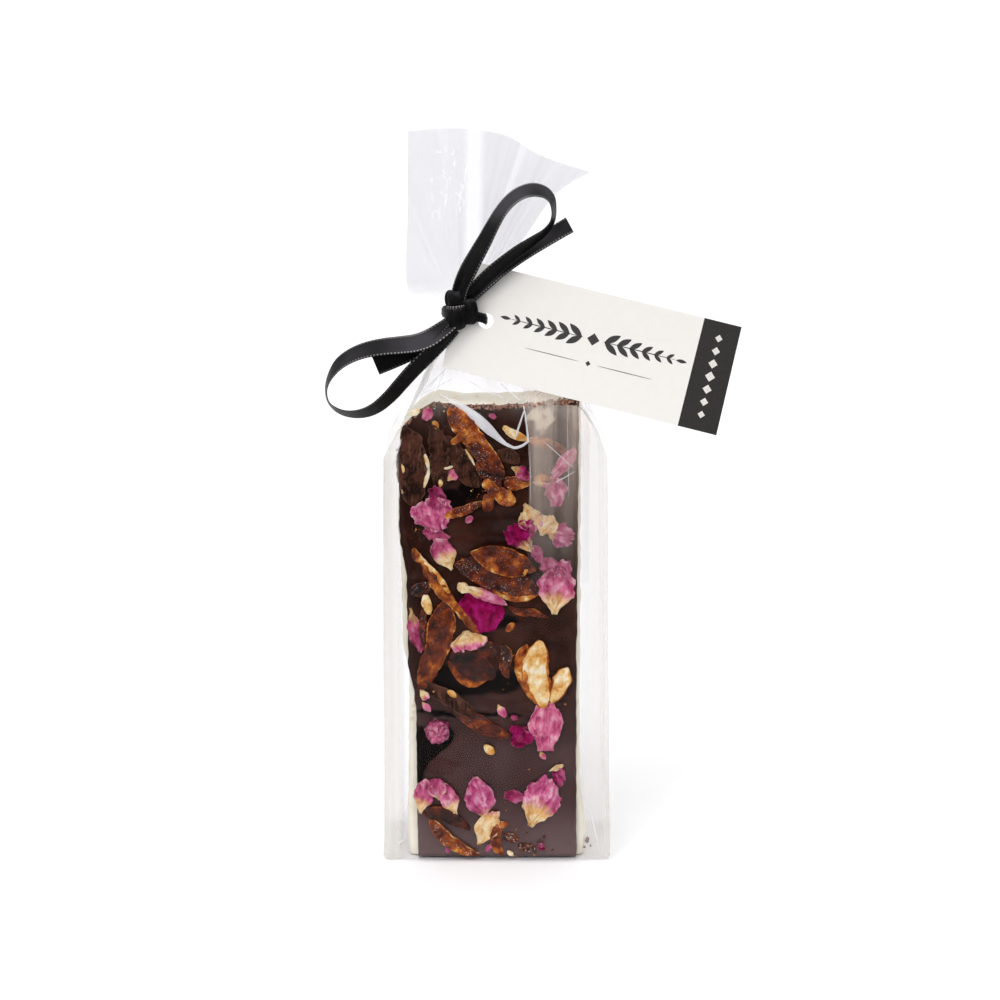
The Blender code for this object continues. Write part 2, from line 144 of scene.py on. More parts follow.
LEFT_TAIL = [
    (-14, -15.2, 186, -20), (-17.6, -15.4, 182.8, -14), (-22.3, -15.6, 179.8, -8), (-29, -15.7, 176.4, -4),
    (-35.7, -15.8, 173.4, 0), (-40.6, -15.8, 171.4, 2),
]
RIGHT_TAIL = [
    (-10.3, -14.2, 193, 26), (-5.7, -13, 197.6, 36), (0, -12, 202.6, 42), (6, -11.2, 206.8, 46),
    (12, -10.6, 210.6, 46), (18.3, -10.4, 214.3, 46), (24.2, -10.4, 217.8, 44),
]
TIE = [
    (-12, -15.4, 188.4), (-8, -15.8, 188), (-4.9, -14.8, 187.2), (-3.7, -12.6, 186.2), (-3.9, -9, 186.2),
    (-5, -4.6, 187), (-8, -0.4, 187.8), (-12, 1.4, 188), (-16, -0.2, 188), (-18, -4.6, 188),
    (-17.9, -9, 188.2), (-16.2, -13.2, 188.4),
]

# The knot's lumps: centre, half size, and how many pleats run down each
KNOT_LUMPS = [
    ((-13.9, -15.7, 193.2), (3.2, 2.3, 3.3), 3),
    ((-13.4, -16.6, 187.6), (3.2, 2.6, 4.2), 4),
    ((-9.8, -15.4, 189.4), (3.4, 2.2, 4.3), 3),
]

# The bar: where its chocolate ends on the left, the right and at the top
CHOCOLATE_FRONT, CHOCOLATE_BACK, NOUGAT_BACK = 20.0, 16.4, -4.2
CHOCOLATE_LEFT = [
    (0, -27.2), (14, -27.4), (52, -27.6), (60, -28.2), (70, -30.2), (104, -30.6), (112, -31.8), (122, -33),
    (150, -32.8), (160, -31.8),
]
CHOCOLATE_RIGHT = [(0, 27.4), (60, 27), (110, 27.2), (160, 27.4)]
BAR_TOP = [
    (-34, 148.6), (-32, 150.6), (-26.5, 156), (-21.5, 159.3), (-12, 158.2), (0, 158), (14, 158.8),
    (27.5, 160.6),
]
NOUGAT_LEFT = [
    (0, -30.6), (14, -30.8), (30, -30.2), (70, -30), (76, -32), (110, -32.4), (122, -33.4), (160, -32.6),
]
NOUGAT_RIGHT = [(0, 30), (8, 30.5), (18, 29.2), (27, 28.2), (160, 28.2)]

# Hollows and ridges of the poured chocolate: x, z, half width, half height, height
CHOCOLATE_WAVES = [
    (-19, 36.5, 9, 7, -0.9), (-2, 56, 13, 4, -1), (-8, 61, 12, 4, 0.8), (12, 52, 12, 3.5, 0.7),
    (4, 114, 13, 4.5, 0.7), (3, 120.5, 12, 4, -0.7), (-16, 127, 6, 6, -0.9), (18, 78, 7, 9, 0.5),
    (-6, 74, 7, 5, -0.6), (20, 133, 7, 12, 0.4), (10, 135, 6, 6, 0.6), (-24, 100, 6, 9, -0.5),
    (-24.6, 52.6, 6, 1.3, -0.9), (-17.7, 51.2, 7, 1.3, -0.9), (-9.2, 50.8, 8, 1.2, -0.8),
    (-0.4, 51.5, 8, 1.2, -0.7), (2.7, 55.8, 10, 3.2, 0.9), (-5.1, 59, 12, 2.4, -0.8),
    (21.4, 56.1, 5, 2, -0.6), (-9.1, 112.7, 9, 6, 0.6),
]

# Dark hollows of the chocolate, given painted shade: x, z, half width, half height
PAINTED_HOLLOW_SHADES = [
    (-25, 39.1, 4.2, 6), (-9.2, 61.1, 11, 3), (1.7, 63.2, 8, 4.4), (-22.9, 52.3, 6, 0.8),
    (-17.1, 51.2, 7, 0.8), (-8.5, 50.8, 8, 0.7), (1, 51.2, 9, 0.7), (-17.4, 65.3, 4.5, 4.5),
    (-15.4, 126.5, 6, 4), (-9.1, 129.9, 4, 4), (-24.5, 69.5, 3, 3), (1, 84.2, 7, 2.4),
]

# Where the painted shade of the hollow at the bar's left ends on its right, from its foot up
PAINTED_SHADE_EDGE = [
    (-27.8, 24.8), (-26, 30.6), (-22.9, 34.9), (-19.2, 38.4), (-16.1, 41.6), (-15.4, 44.8), (-17.1, 47.3),
]

# Smears of nougat cream on the chocolate: x, z, radius
CREAM_SMEARS = [
    (13, 154.8, 4), (15, 152.4, 3.6), (17.3, 155.1, 2.6), (-31.8, 138.1, 1.2), (-23.4, 136.7, 1.2),
]

# Fruit on the chocolate. Route: x, z, width, lift above the chocolate, roll in degrees. Then thickness, cup
# of the cross-section, flesh at the start and end of the route, skin at the rims, and sugar on it.
FRUIT = [
    # Coated strips at the upper left
    ([(-31.4, 150.4, 5, 0.4, 0), (-29.1, 144.9, 9.5, 0.5, 0), (-28.8, 138.1, 10, 0.4, 4),
      (-28.2, 130.6, 9, 0.3, 0), (-26.9, 124.4, 6, 0.1, 0)], 2.6, 0.1, 0.1, 0.09, 0.13, 0.05),
    ([(-21, 152.4, 4, 0.6, 0), (-19.7, 144.9, 6.5, 0.7, 0), (-19.1, 137.4, 6.5, 0.5, 0),
      (-19.8, 129.9, 4, 0.2, 0)], 2.4, 0, 0.09, 0.07, 0.12, 0.1),
    ([(-16.7, 148.3, 4, 0.8, 0), (-14, 142.9, 6, 0.8, 0), (-10.4, 136.7, 7, 0.7, 0),
      (-6.4, 130.6, 6, 0.4, 0)], 2.2, 0.1, 0.1, 0.14, 0.16, 0.2),
    # The large amber strip and its curled flap
    ([(-15.7, 158.1, 5, 1, 0), (-12.7, 154.1, 7.8, 1.3, 0), (-8.4, 148.3, 7.6, 1.5, 6),
      (-3.7, 141.8, 6.6, 1.4, 0), (0.3, 136.4, 5, 1.2, 0), (2.3, 133.3, 3, 0.9, 0)], 2, 0.35, 0.62, 0.34,
      0.72, 0.4),
    ([(-15.4, 145.9, 2.2, 2, 20), (-12.7, 148, 3.2, 2.2, 30), (-10, 150.4, 2.4, 2, 10)], 1, 0.3, 0.6, 0.64,
      0.74, 0.2),
    ([(-7, 139.5, 3.5, 1, 0), (-2.3, 134.7, 5, 1, 0), (1, 130.6, 3.5, 0.8, 0)], 1.6, 0.2, 0.3, 0.34, 0.5,
      0.5),
    # Pieces where it ends
    ([(-4.4, 133.3, 3.6, 1.2, 0), (-1.7, 130.6, 4.6, 1.4, 20), (0, 127.5, 3, 1.1, 0)], 1.8, 0.2, 0.66, 0.62,
      0.84, 0.3),
    ([(-3.4, 128.5, 3.2, 0.9, 0), (-3, 125.4, 3.8, 0.9, 0), (-3.4, 122.3, 3, 0.6, 0)], 1.8, 0.3, 0.6, 0.5,
      0.66, 0.2),
    ([(-0.3, 129.2, 4.2, 1, 0), (2.7, 127.5, 5.6, 1.2, 0), (6.4, 125.8, 3.6, 0.9, 0)], 1.9, 0.25, 0.64,
      0.58, 0.78, 0.5),
    ([(2.3, 132.6, 3.6, 0.8, 0), (6.4, 132.3, 4.8, 1, 0), (11.1, 133, 3.2, 0.7, 0)], 1.5, 0.25, 0.5, 0.56,
      0.7, 0.5),
    ([(-17.5, 120.6, 2.4, 0.7, 0), (-14.1, 122, 3.2, 0.9, 0), (-9.7, 123.4, 3.2, 0.8, 0),
      (-4.4, 125.8, 2.4, 0.5, 0)], 1.5, 0.2, 0.8, 0.36, 0.8, 0.6),
    # Upper right, under the folded film
    ([(10.7, 147, 2.6, 0.7, 0), (16.4, 145.6, 3.8, 0.8, 0), (23.4, 142.9, 2.4, 0.5, 0)], 1.5, 0.2, 0.66,
      0.6, 0.8, 0.3),
    ([(2, 151.4, 2, 1.2, 0), (5.7, 149, 3, 1.4, 0), (10.4, 147, 2.2, 1, 0)], 1.2, 0.2, 0.92, 0.94, 0.97,
      0.2),
    ([(12.4, 133.3, 1.8, 0.6, 0), (15.1, 134, 2.8, 0.7, 0), (18.1, 133, 1.8, 0.6, 0)], 1.2, 0.2, 0.74, 0.66,
      0.8, 0.2),
    ([(0, 142.9, 2.4, 0.5, 0), (3.7, 141.5, 5.2, 0.6, 0), (7.7, 139.8, 3.4, 0.4, 0)], 1.8, 0, 0.13, 0.16,
      0.2, 0.1),
    # The two boat-shaped slices and the olive rim beneath them
    ([(-14.2, 104.4, 3.6, 0.5, 0), (-8.4, 103, 8.4, 0.7, 0), (-0.7, 100.3, 9.6, 0.8, 0),
      (7.8, 97.1, 8.4, 0.7, 0), (14.8, 94.7, 3, 0.4, 0)], 1.8, 0.55, 0.28, 0.34, 0.52, 0.35),
    ([(-9.1, 108.6, 1.6, 1.2, 0), (-5.4, 107.9, 6.2, 1.4, 0), (0.7, 106.1, 9.8, 1.5, 0),
      (7.1, 104.1, 8.6, 1.4, 0), (13.1, 102.3, 1.8, 1.1, 0)], 1.6, 0.75, 0.52, 0.46, 0.68, 0.15),
    ([(-4.4, 96.4, 1.4, 0.3, 0), (1, 94, 2.8, 0.5, 0), (7.8, 92.6, 3.2, 0.5, 0), (14.8, 94.3, 1.8, 0.3, 0)],
      1.3, 0.1, 0.7, 0.78, 0.84, 0.1),
    ([(4, 89.5, 1.4, 0.5, 0), (7.8, 87.7, 2.6, 0.8, 15), (12.2, 87.4, 2.6, 0.7, -10),
      (17.6, 85.6, 1.2, 0.3, 0)], 1.1, 0.5, 0.5, 0.4, 0.6, 0.1),
    # The long twisted strip
    ([(-28.3, 109.9, 2.4, 0.8, 0), (-27, 107.2, 3.2, 1, 20), (-23.9, 103.4, 3.8, 1.2, 35),
      (-21.3, 99.2, 4.8, 1.3, 15), (-18.3, 95, 4.8, 1.2, 0), (-15.2, 90.9, 3, 1.1, -25),
      (-11.5, 86.3, 2.8, 1, -35), (-8.5, 82.5, 2.8, 0.9, -20), (-5.4, 78.7, 2.4, 0.5, 0)], 1.9, 0.15, 0.52,
      0.6, 0.8, 0.15),
    ([(-24.6, 105.4, 1.4, 2, 0), (-21.3, 102, 2, 2.2, 0), (-18.2, 97.8, 2, 2.1, 0),
      (-16.2, 94.3, 1.4, 1.8, 0)], 0.9, 0, 0.9, 0.84, 0.92, 0),
    ([(-29.1, 94, 3, 0.4, 0), (-26, 95.4, 5, 0.5, 0), (-22.6, 96.8, 3.4, 0.4, 0)], 1.6, 0.2, 0.2, 0.24, 0.4,
      0.6),
    ([(-24.3, 93.7, 2.4, 1, 0), (-23.7, 90.5, 3.6, 1.2, 10), (-22.7, 86.7, 1.6, 0.9, 0)], 1.2, 0.2, 0.95,
      0.88, 0.93, 0),
    # The broad red-brown strip
    ([(-17.2, 91.9, 4, 1.2, 0), (-17.9, 87.7, 8.2, 1.5, 0), (-19.3, 81.4, 9.4, 1.6, -6),
      (-20.4, 75.1, 8.6, 1.4, 0), (-22.8, 69.5, 7.2, 1.2, 6), (-24.5, 64.6, 6, 1, 0),
      (-26.2, 60.4, 3.4, 0.6, 0)], 2.1, 0.4, 0.4, 0.44, 0.66, 0.15),
    ([(-24.7, 89.8, 2, 0.8, 0), (-25.1, 84.2, 2.8, 0.9, 0), (-24.8, 77.9, 2.6, 0.8, 0),
      (-23.4, 73.7, 1.6, 0.6, 0)], 1.4, 0, 0.3, 0.36, 0.5, 0.3),
    # Dark slices with an amber lower rim, right of it
    ([(-16, 73, 4, 0.5, 0), (-11.9, 70.9, 8.2, 0.7, 0), (-6.5, 68.1, 9, 0.8, 0), (-0.4, 65.3, 4.5, 0.4, 0)],
      1.8, 0.5, 0.16, 0.18, 0.34, 0.1),
    ([(-16.7, 70.6, 1.4, 0.6, 0), (-13.6, 66, 2.8, 0.9, 0), (-9.2, 62.8, 3, 0.9, 0),
      (-3.8, 63.9, 1.6, 0.6, 0)], 1.4, 0.2, 0.5, 0.56, 0.72, 0.1),
    ([(-9.2, 77.2, 3, 0.5, 0), (-4.4, 75.1, 6.2, 0.7, 0), (-0.4, 72.3, 4.4, 0.5, 0)], 1.7, 0.3, 0.18, 0.16,
      0.3, 0.1),
    # Wrinkled bud and crumbs beside the pale fruit
    ([(2, 76.5, 2.6, 0.9, 0), (3.4, 72.7, 4, 1.1, 15), (2.4, 68.5, 3.2, 0.8, 0), (3.7, 64.6, 2, 0.5, 0)], 2,
      0.3, 0.24, 0.3, 0.7, 0.9),
    ([(3.4, 80.7, 1.4, 0.8, 0), (4.4, 82.5, 2.4, 1, 30), (6.1, 83.5, 1.2, 0.9, 0)], 1.1, 0.2, 0.66, 0.6,
      0.8, 0.1),
    # The pale halved fruit with its lobe
    ([(14.9, 77.9, 5, 1.2, 0), (13.9, 73.7, 8.6, 1.5, 0), (12.5, 68.8, 9.8, 1.5, 0),
      (13.9, 63.2, 8.6, 1.4, 0), (15.3, 58.3, 6.8, 1.1, 0), (15.6, 54, 4.6, 0.8, 0)], 2, 0.45, 0.97, 0.9,
      0.66, 0.1),
    ([(10.5, 76.2, 2, 1.3, 0), (7.8, 72, 3.4, 1.5, 0), (8.5, 65.7, 4, 1.5, 0), (11.2, 59.7, 3.2, 1.2, 0),
      (13.6, 55.4, 1.8, 0.8, 0)], 1.9, 0.1, 0.66, 0.74, 0.84, 0.1),
    ([(23.1, 68.1, 3.4, 1, 0), (22.4, 65.3, 6.2, 1.4, 0), (20.7, 60.4, 5.4, 1.3, 0),
      (18.7, 55.8, 3.2, 0.9, 0)], 2.2, 0.35, 0.84, 0.9, 0.62, 0.2),
    # The dark glossy strip across the bar, and its orange-brown end
    ([(-27.6, 64.3, 2.4, 0.4, 0), (-23.5, 61.4, 4, 0.7, 0), (-18.1, 58.6, 5.4, 1, 12),
      (-12.6, 54.7, 5.6, 1, 0), (-7.9, 51.2, 4.4, 0.8, -10)], 2, 0.2, 0.16, 0.12, 0.2, 0),
    ([(-16.7, 54.7, 3, 0.4, 0), (-10.6, 51.2, 5.2, 0.7, 0), (-4.5, 47.6, 6, 0.8, 10),
      (1, 44.8, 4.6, 0.6, 0), (5.8, 43.4, 2, 0.3, 0)], 1.7, 0.3, 0.26, 0.42, 0.5, 0.15),
    ([(-17, 60.4, 1.4, 2, 0), (-15.3, 59.3, 2.2, 2.1, 0), (-14, 57.9, 1.2, 2, 0)], 0.9, 0, 0.93, 0.9, 0.95,
      0),
    # At the foot of the bar
    ([(-25.8, 17, 3.4, 0.8, 0), (-21, 16.6, 4.8, 1.1, 0), (-15.5, 14.8, 4.6, 1, 0),
      (-9.3, 10.5, 2.4, 0.5, 0)], 1.8, 0.2, 0.28, 0.3, 0.44, 0.1),
    ([(-23, 14.8, 2.6, 0.8, 0), (-20.3, 10.8, 4.4, 1.1, 0), (-16.5, 6.9, 4.8, 1.1, 8),
      (-11.7, 3.6, 3.8, 0.8, 0), (-5.9, 1.5, 2.4, 0.4, 0)], 1.8, 0.55, 0.56, 0.6, 0.84, 0.7),
    ([(4.1, 12.6, 1.6, 0.7, 0), (1, 11.9, 3, 0.9, 0), (-0.7, 8.3, 3.6, 0.9, 0), (0, 4.4, 3.6, 0.8, 0),
      (2, 1.5, 2, 0.5, 0)], 1.6, 0.3, 0.62, 0.58, 0.76, 0.3),
    ([(2.4, 8.3, 2.4, 0.5, 0), (4.8, 7.6, 3.4, 0.6, 0), (7.2, 6.9, 2, 0.4, 0)], 1.9, 0, 0.28, 0.32, 0.5,
      5.6),
    ([(7.2, 4.4, 2.4, 0.5, 0), (10.3, 4, 3.2, 0.6, 0), (13.4, 3.6, 2, 0.4, 0)], 1.8, 0, 0.26, 0.28, 0.4,
      5.2),
]

# Strips whose flesh and skin are no paler than this are coated in chocolate
COATED_TONE = 0.20

# Slivers of nougat and nut: from, to, width
SLIVERS = [
    (-24.4, 142.5, -22.8, 136.7, 1.6), (-22.8, 137.4, -24.5, 130.6, 1.5), (-31.8, 139.1, -31.1, 135.4, 1.4),
    (-10.7, 143.9, -7.4, 138.1, 1.2), (-18.4, 137.1, -14.1, 138.1, 1.1), (3.4, 2.9, 5.5, 1.1, 1.7),
    (-19.1, 133.7, -19.1, 130.9, 1.6), (-21.3, 153.4, -20, 150.7, 2.4), (7.4, 99.9, 10.4, 102.7, 1.9),
    (-29.7, 155.8, -25.7, 156.8, 2.4), (-4.5, 40.9, -1.1, 37.7, 3),
]

# Crumbs of fruit and sugar: x, z, how far they spread, how many, and their tone
CRUMB_GROUPS = [
    (-3.7, 131.9, 9, 26, 0.7), (0.3, 128.2, 8, 22, 0.62), (2.4, 70.9, 5, 22, 0.55), (4.8, 7.6, 5, 16, 0.5),
    (10.3, 4, 5, 14, 0.5), (-6.4, 126.5, 6, 12, 0.4), (-26.6, 115.5, 4, 10, 0.5),
    (-11.8, 105.1, 3, 14, 0.6), (1, 56.9, 20, 14, 0.5), (1, 28.4, 22, 12, 0.6), (-23.5, 60.4, 4, 8, 0.7),
    (-4.1, 73.7, 7, 9, 0.7), (17.7, 56.9, 8, 10, 0.8), (21.7, 3.3, 8, 8, 0.4), (-20.4, 150.4, 4, 14, 0.45),
    (-15, 157.8, 6, 16, 0.6),
]

# Crumbs at the bag's right corner: x, y, z and size
CORNER_CRUMBS = [(31.2, -15.5, 5, 1.15), (30.2, -17, 3, 0.8), (32.4, -14, 2.4, 0.5)]

# Petals: base, tip, width, how far cream reaches, how deep the magenta, how lilac, lift, cup, crinkle
PETALS = [
    (-19.8, 115.8, -23.2, 127.1, 13.6, 0, 0.25, 0.3, 0.7, 1.2, 0.55),
    (-18.8, 123.7, -21.1, 131.3, 5.6, 0, 0.75, 0.1, 1.4, 0.6, 1),
    (-15.2, 102.3, -20.5, 113.4, 7.8, 0.36, 0.5, 0, 0.5, 1, 0.4),
    (-16.2, 113, -24.9, 115.8, 4.4, 0, 0.7, 0, 0.9, 0.5, 0.9),
    (-4.4, 80.7, -5.8, 95.7, 15, 0, 1.35, 0, 0.6, 1.2, 0.45),
    (-12.8, 97.5, 2.7, 90.9, 3.8, 0.36, 0.3, 0.1, 1.9, 0.4, 0.3),
    (-9.1, 95, -13.2, 97.5, 3.4, 0.95, 0, 0, 2, 0.8, 0.5),
    (19.3, 87, 20.6, 103.4, 12.4, 0.27, 0.4, 0.1, 0.6, 1.2, 0.35),
    (18.9, 100.3, 16.5, 106.5, 6.2, 0, 0.6, 0.2, 1.3, 0.6, 1),
    (23.3, 100.9, 22.2, 106.1, 5, 0, 0.4, 0.4, 1.2, 0.5, 1),
    (14.8, 114.4, 18.1, 121.3, 8.2, 1.5, 0, 0, 1.6, 0.3, 0.45),
    (9.1, 125.4, 14.1, 116.8, 6.4, 0.5, 0.25, 0.15, 1.1, 0.9, 0.5),
    (12.1, 108.6, 3.7, 117.2, 7.6, 0.24, 1.05, 0.1, 0.8, 0.8, 0.9),
    (16.5, 116.2, 25.6, 113, 7.8, 0.24, 0.2, 0.9, 0.8, 0.5, 0.9),
    (14.8, 104.8, 12.1, 110.6, 3.6, 0, 0.4, 0.5, 0.9, 0.4, 1),
    (8.1, 122.3, 9.7, 116.5, 4, 0.5, 0.15, 0.2, 1, 0.5, 0.5),
    (12.1, 113.7, 6.4, 118.2, 7.4, 0, 1.2, 0, 1, 0.6, 0.7),
    (19.8, 124.1, 19.8, 134.3, 7, 0, 0.25, 0.6, 0.5, 0.5, 0.7),
    (19.1, 135, 26.1, 143.6, 4.8, 0, 0.12, 0.25, 0.7, 0.5, 0.5),
    (12.1, 132.6, 17.4, 131.9, 2.4, 0.5, 0.1, 0.1, 0.6, 0.3, 0.5),
    (17.1, 131.9, 20.4, 136, 1.6, 0.2, 0.1, 0.2, 0.7, 0.3, 0.4),
    (5, 137.8, 11, 134.3, 4.4, 0.24, 0.75, 0, 0.8, 0.5, 0.9),
    (-10.5, 81.1, -9.2, 74.4, 12.8, 0.5, 0.02, 0.2, 1.6, 0.7, 0.5),
    (-29.4, 89.1, -26.1, 74.4, 5.2, 0.2, 0.65, 0.1, 0.9, 0.7, 0.7),
    (16.7, 38.8, 16.7, 56.1, 11.2, 0, 0.26, 0.05, 0.8, 1.3, 0.35),
    (12.9, 46.9, 4.8, 40.9, 6.8, 0, 1.1, 0, 0.9, 0.6, 0.6),
    (11.2, 42, 5.1, 47.3, 5.2, 0, 1.05, 0, 1.1, 0.5, 0.7),
    (-26.5, 16.6, -24, 28.1, 6.4, 0.24, 0.3, 0.2, 0.9, 1, 0.4),
    (-19.6, 21.3, -21.3, 28.8, 6.2, 0.16, 0.35, 0.2, 1, 0.8, 0.4),
    (-14.1, 16.2, -18.5, 27, 6.4, 0.26, 0.3, 0.2, 1.1, 1.1, 0.4),
    (-3.8, 14.4, -7.9, 28.4, 9.8, 0.08, 0.35, 0.55, 0.7, 0.9, 0.6),
    (-6.6, 5.1, -0.7, 17.3, 8, 0.75, 0.05, 0.05, 1, 0.8, 0.4),
    (11.3, 11.6, 17.8, 29.1, 12.8, 0.32, 0.25, 0.55, 0.7, 1, 0.45),
    (2.4, 22.7, 8.9, 22.3, 4.2, 0, 0.65, 0.1, 0.6, 0.3, 0.6),
    (20.5, 33.8, 21.6, 26.6, 5.2, 0.15, 0.75, 0.2, 0.7, 0.5, 0.9),
    (17.8, 31.6, 22.6, 33.8, 2.2, 1.2, 0, 0, 1, 0.3, 0.4),
    (-24.3, 153.7, -22.3, 157.8, 3.8, 0, 0.6, 0.1, 1, 0.4, 0.5),
    (-16.4, 133, -13.4, 136.7, 3.8, 0.2, 0.1, 0, 0.9, 0.3, 0.4),
    (-31.9, 128.5, -28.8, 135, 3, 0.25, 0.5, 0.2, 0.9, 0.3, 0.6),
    (-10.4, 118.6, -8.4, 121, 2.4, 0, 0.6, 0.1, 0.5, 0.2, 0.5),
    (-26.2, 60.4, -23.5, 57.2, 3, 0.5, 0.1, 0, 0.9, 0.3, 0.4),
    (-25.6, 56.1, -22.9, 52.6, 2.6, 0.2, 0.1, 0.1, 0.5, 0.2, 0.4),
    (0.3, 55.1, 2.7, 50.5, 2.8, 0.3, 0.1, 0, 0.5, 0.2, 0.3),
    (4.7, 50.8, 7.1, 50.1, 1.8, 0, 0.8, 0, 0.5, 0.1, 0.4),
    (14.7, 38.4, 16.4, 35.6, 1.8, 0.3, 0.15, 0, 0.5, 0.1, 0.4),
    (-17.6, 2.2, -15.9, 5.4, 2.4, 0, 0.2, 0.8, 0.6, 0.2, 0.6),
    (-2.7, 155.4, -0.3, 154.4, 1.8, 0, 0.7, 0.2, 0.8, 0.2, 0.4),
    (-3.8, 2.6, -1.8, 5.1, 2.2, 0, 0.2, 0.7, 0.6, 0.2, 0.5),
]

# Crumpled buds: x, z, radius, how many petals, magenta, lilac
BUDS = [(-20.2, 45.9, 4.9, 15, 0.62, 0.15), (15.1, 4.7, 1.9, 5, 0.6, 0.0)]


def mix(a, b, share):
    """What lies at share of the way from a to b."""
    return a + (b - a) * share


def smooth(share):
    """Goes softly from 0 to 1 as share does, and stays there outside."""
    share = min(1.0, max(0.0, share))
    return share * share * (3 - 2 * share)


def along(points, t, closed=False):
    """The point at share t of the way along a smooth curve through points, of any number of coordinates."""
    count = len(points)
    spans = count if closed else count - 1
    span = min(int(t * spans), spans - 1)
    f = t * spans - span
    four = [span + k for k in (-1, 0, 1, 2)]
    if not closed:
        four = [min(max(k, 0), count - 1) for k in four]
    return tuple(
        b + 0.5 * f * (c - a + f * (2 * a - 5 * b + 4 * c - d + f * (3 * b - 3 * c + d - a)))
        for a, b, c, d in zip(*(points[k % count] for k in four))
    )


def between(table, at):
    """The value that a table of places and values has at a place."""
    if at <= table[0][0]:
        return table[0][1]
    for (a, low), (b, high) in zip(table, table[1:]):
        if at <= b:
            return mix(low, high, (at - a) / (b - a))
    return table[-1][1]


def heading(route, t, reach, axes):
    """The way that a route goes at share t of it, in its first two or three axes, with a length of 1."""
    ahead = Vector(along(route, min(1.0, t + reach))[:axes])
    return (ahead - Vector(along(route, max(0.0, t - reach))[:axes])).normalized()


def rough(x, z, size, seed=0.0):
    """Soft noise from about -1 to 1, with lumps of a size in mm."""
    return noise.noise(Vector((x / size, z / size, seed * 7.31 + 0.5)))


# Materials


class Value:
    """An output of a node. Sums and products of it add Math nodes."""

    def __init__(self, finish, socket):
        self.finish, self.socket = finish, socket

    def other(self, name):
        return Value(self.finish, self.socket.node.outputs[name])

    def math(self, operation, second=None, turned=False):
        pair = [second, self] if turned else [self, second]
        inputs = {k: value for k, value in enumerate(pair) if value is not None}
        return self.finish.node("Math", {"operation": operation}, inputs)

    def __add__(self, second):
        return self.math("ADD", second)

    __radd__ = __add__

    def __mul__(self, second):
        return self.math("MULTIPLY", second)

    __rmul__ = __mul__

    def __sub__(self, second):
        return self.math("SUBTRACT", second)

    def __rsub__(self, second):
        return self.math("SUBTRACT", second, turned=True)

    def __truediv__(self, second):
        return self.math("DIVIDE", second)

    def __pow__(self, second):
        return self.math("POWER", second)

    def size(self):
        return self.math("ABSOLUTE")

    def step(self, low, high):
        """Goes softly from 0 at low to 1 at high."""
        return self.finish.node("MapRange", {"interpolation_type": "SMOOTHSTEP"}, {0: self, 1: low, 2: high})


class Finish:
    """A material, or the world, whose nodes are being laid."""

    def __init__(self, owner):
        owner.use_nodes = True
        self.owner, self.tree = owner, owner.node_tree
        self.tree.nodes.clear()

    def node(self, kind, settings=None, inputs=None):
        made = self.tree.nodes.new("ShaderNode" + kind)
        for name, value in (settings or {}).items():
            if name == "stops":
                self.set_stops(made.color_ramp, value)
            else:
                setattr(made, name, value)
        for name, value in (inputs or {}).items():
            if isinstance(value, Value):
                self.tree.links.new(value.socket, made.inputs[name])
            else:
                made.inputs[name].default_value = value
        if kind == "Mix":
            return Value(self, made.outputs[2])
        return Value(self, made.outputs[0]) if made.outputs else None

    @staticmethod
    def set_stops(ramp, stops):
        while len(ramp.elements) < len(stops):
            ramp.elements.new(1.0)
        for element, (place, colour) in zip(ramp.elements, stops):
            element.position = place
            element.color = (*colour, 1.0)

    def colours(self, share, first, second):
        """A colour mixed from two others."""
        first, second = [(*c, 1.0) if isinstance(c, tuple) else c for c in (first, second)]
        return self.node("Mix", {"data_type": "RGBA"}, {0: share, 6: first, 7: second})

    def place(self, *stretch):
        """Object coordinates, in mm, stretched along x, y and z."""
        at = self.node("TexCoord").other("Object")
        return self.node("Mapping", {}, {"Vector": at, "Scale": [1000.0 * s for s in stretch or (1, 1, 1)]})

    def noise(self, at, scale, detail=3.0, roughness=0.55):
        inputs = {"Vector": at, "Scale": scale, "Detail": detail, "Roughness": roughness}
        return self.node("TexNoise", {}, inputs)

    def split(self, vector):
        """The x, y and z of a vector."""
        x = self.node("SeparateXYZ", {}, {0: vector})
        return x, x.other("Y"), x.other("Z")

    def channels(self, colour):
        """The red, green and blue of a colour."""
        red = self.node("SeparateColor", {}, {0: colour})
        return red, red.other("Green"), red.other("Blue")

    def attribute(self, name):
        return self.node("Attribute", {"attribute_name": name})

    def bump(self, height, strength, depth_mm):
        return self.node("Bump", {}, {"Height": height, "Strength": strength, "Distance": depth_mm * MM})

    def surface(self, **sockets):
        """A Principled surface. A socket is named by its label, or by the shorter names here."""
        names = {"colour": "Base Color", "coat": "Coat Weight", "specular": "Specular IOR Level"}
        inputs = {}
        for name, value in sockets.items():
            value = (*value, 1.0) if name == "colour" and isinstance(value, tuple) else value
            inputs[names.get(name, name.replace("_", " ").title())] = value
        return self.node("BsdfPrincipled", {}, inputs)

    def done(self, shader, kind="Material"):
        self.node("Output" + kind, {}, {"Surface": shader})
        return self.owner


def new_finish(name):
    return Finish(bpy.data.materials.new(name))


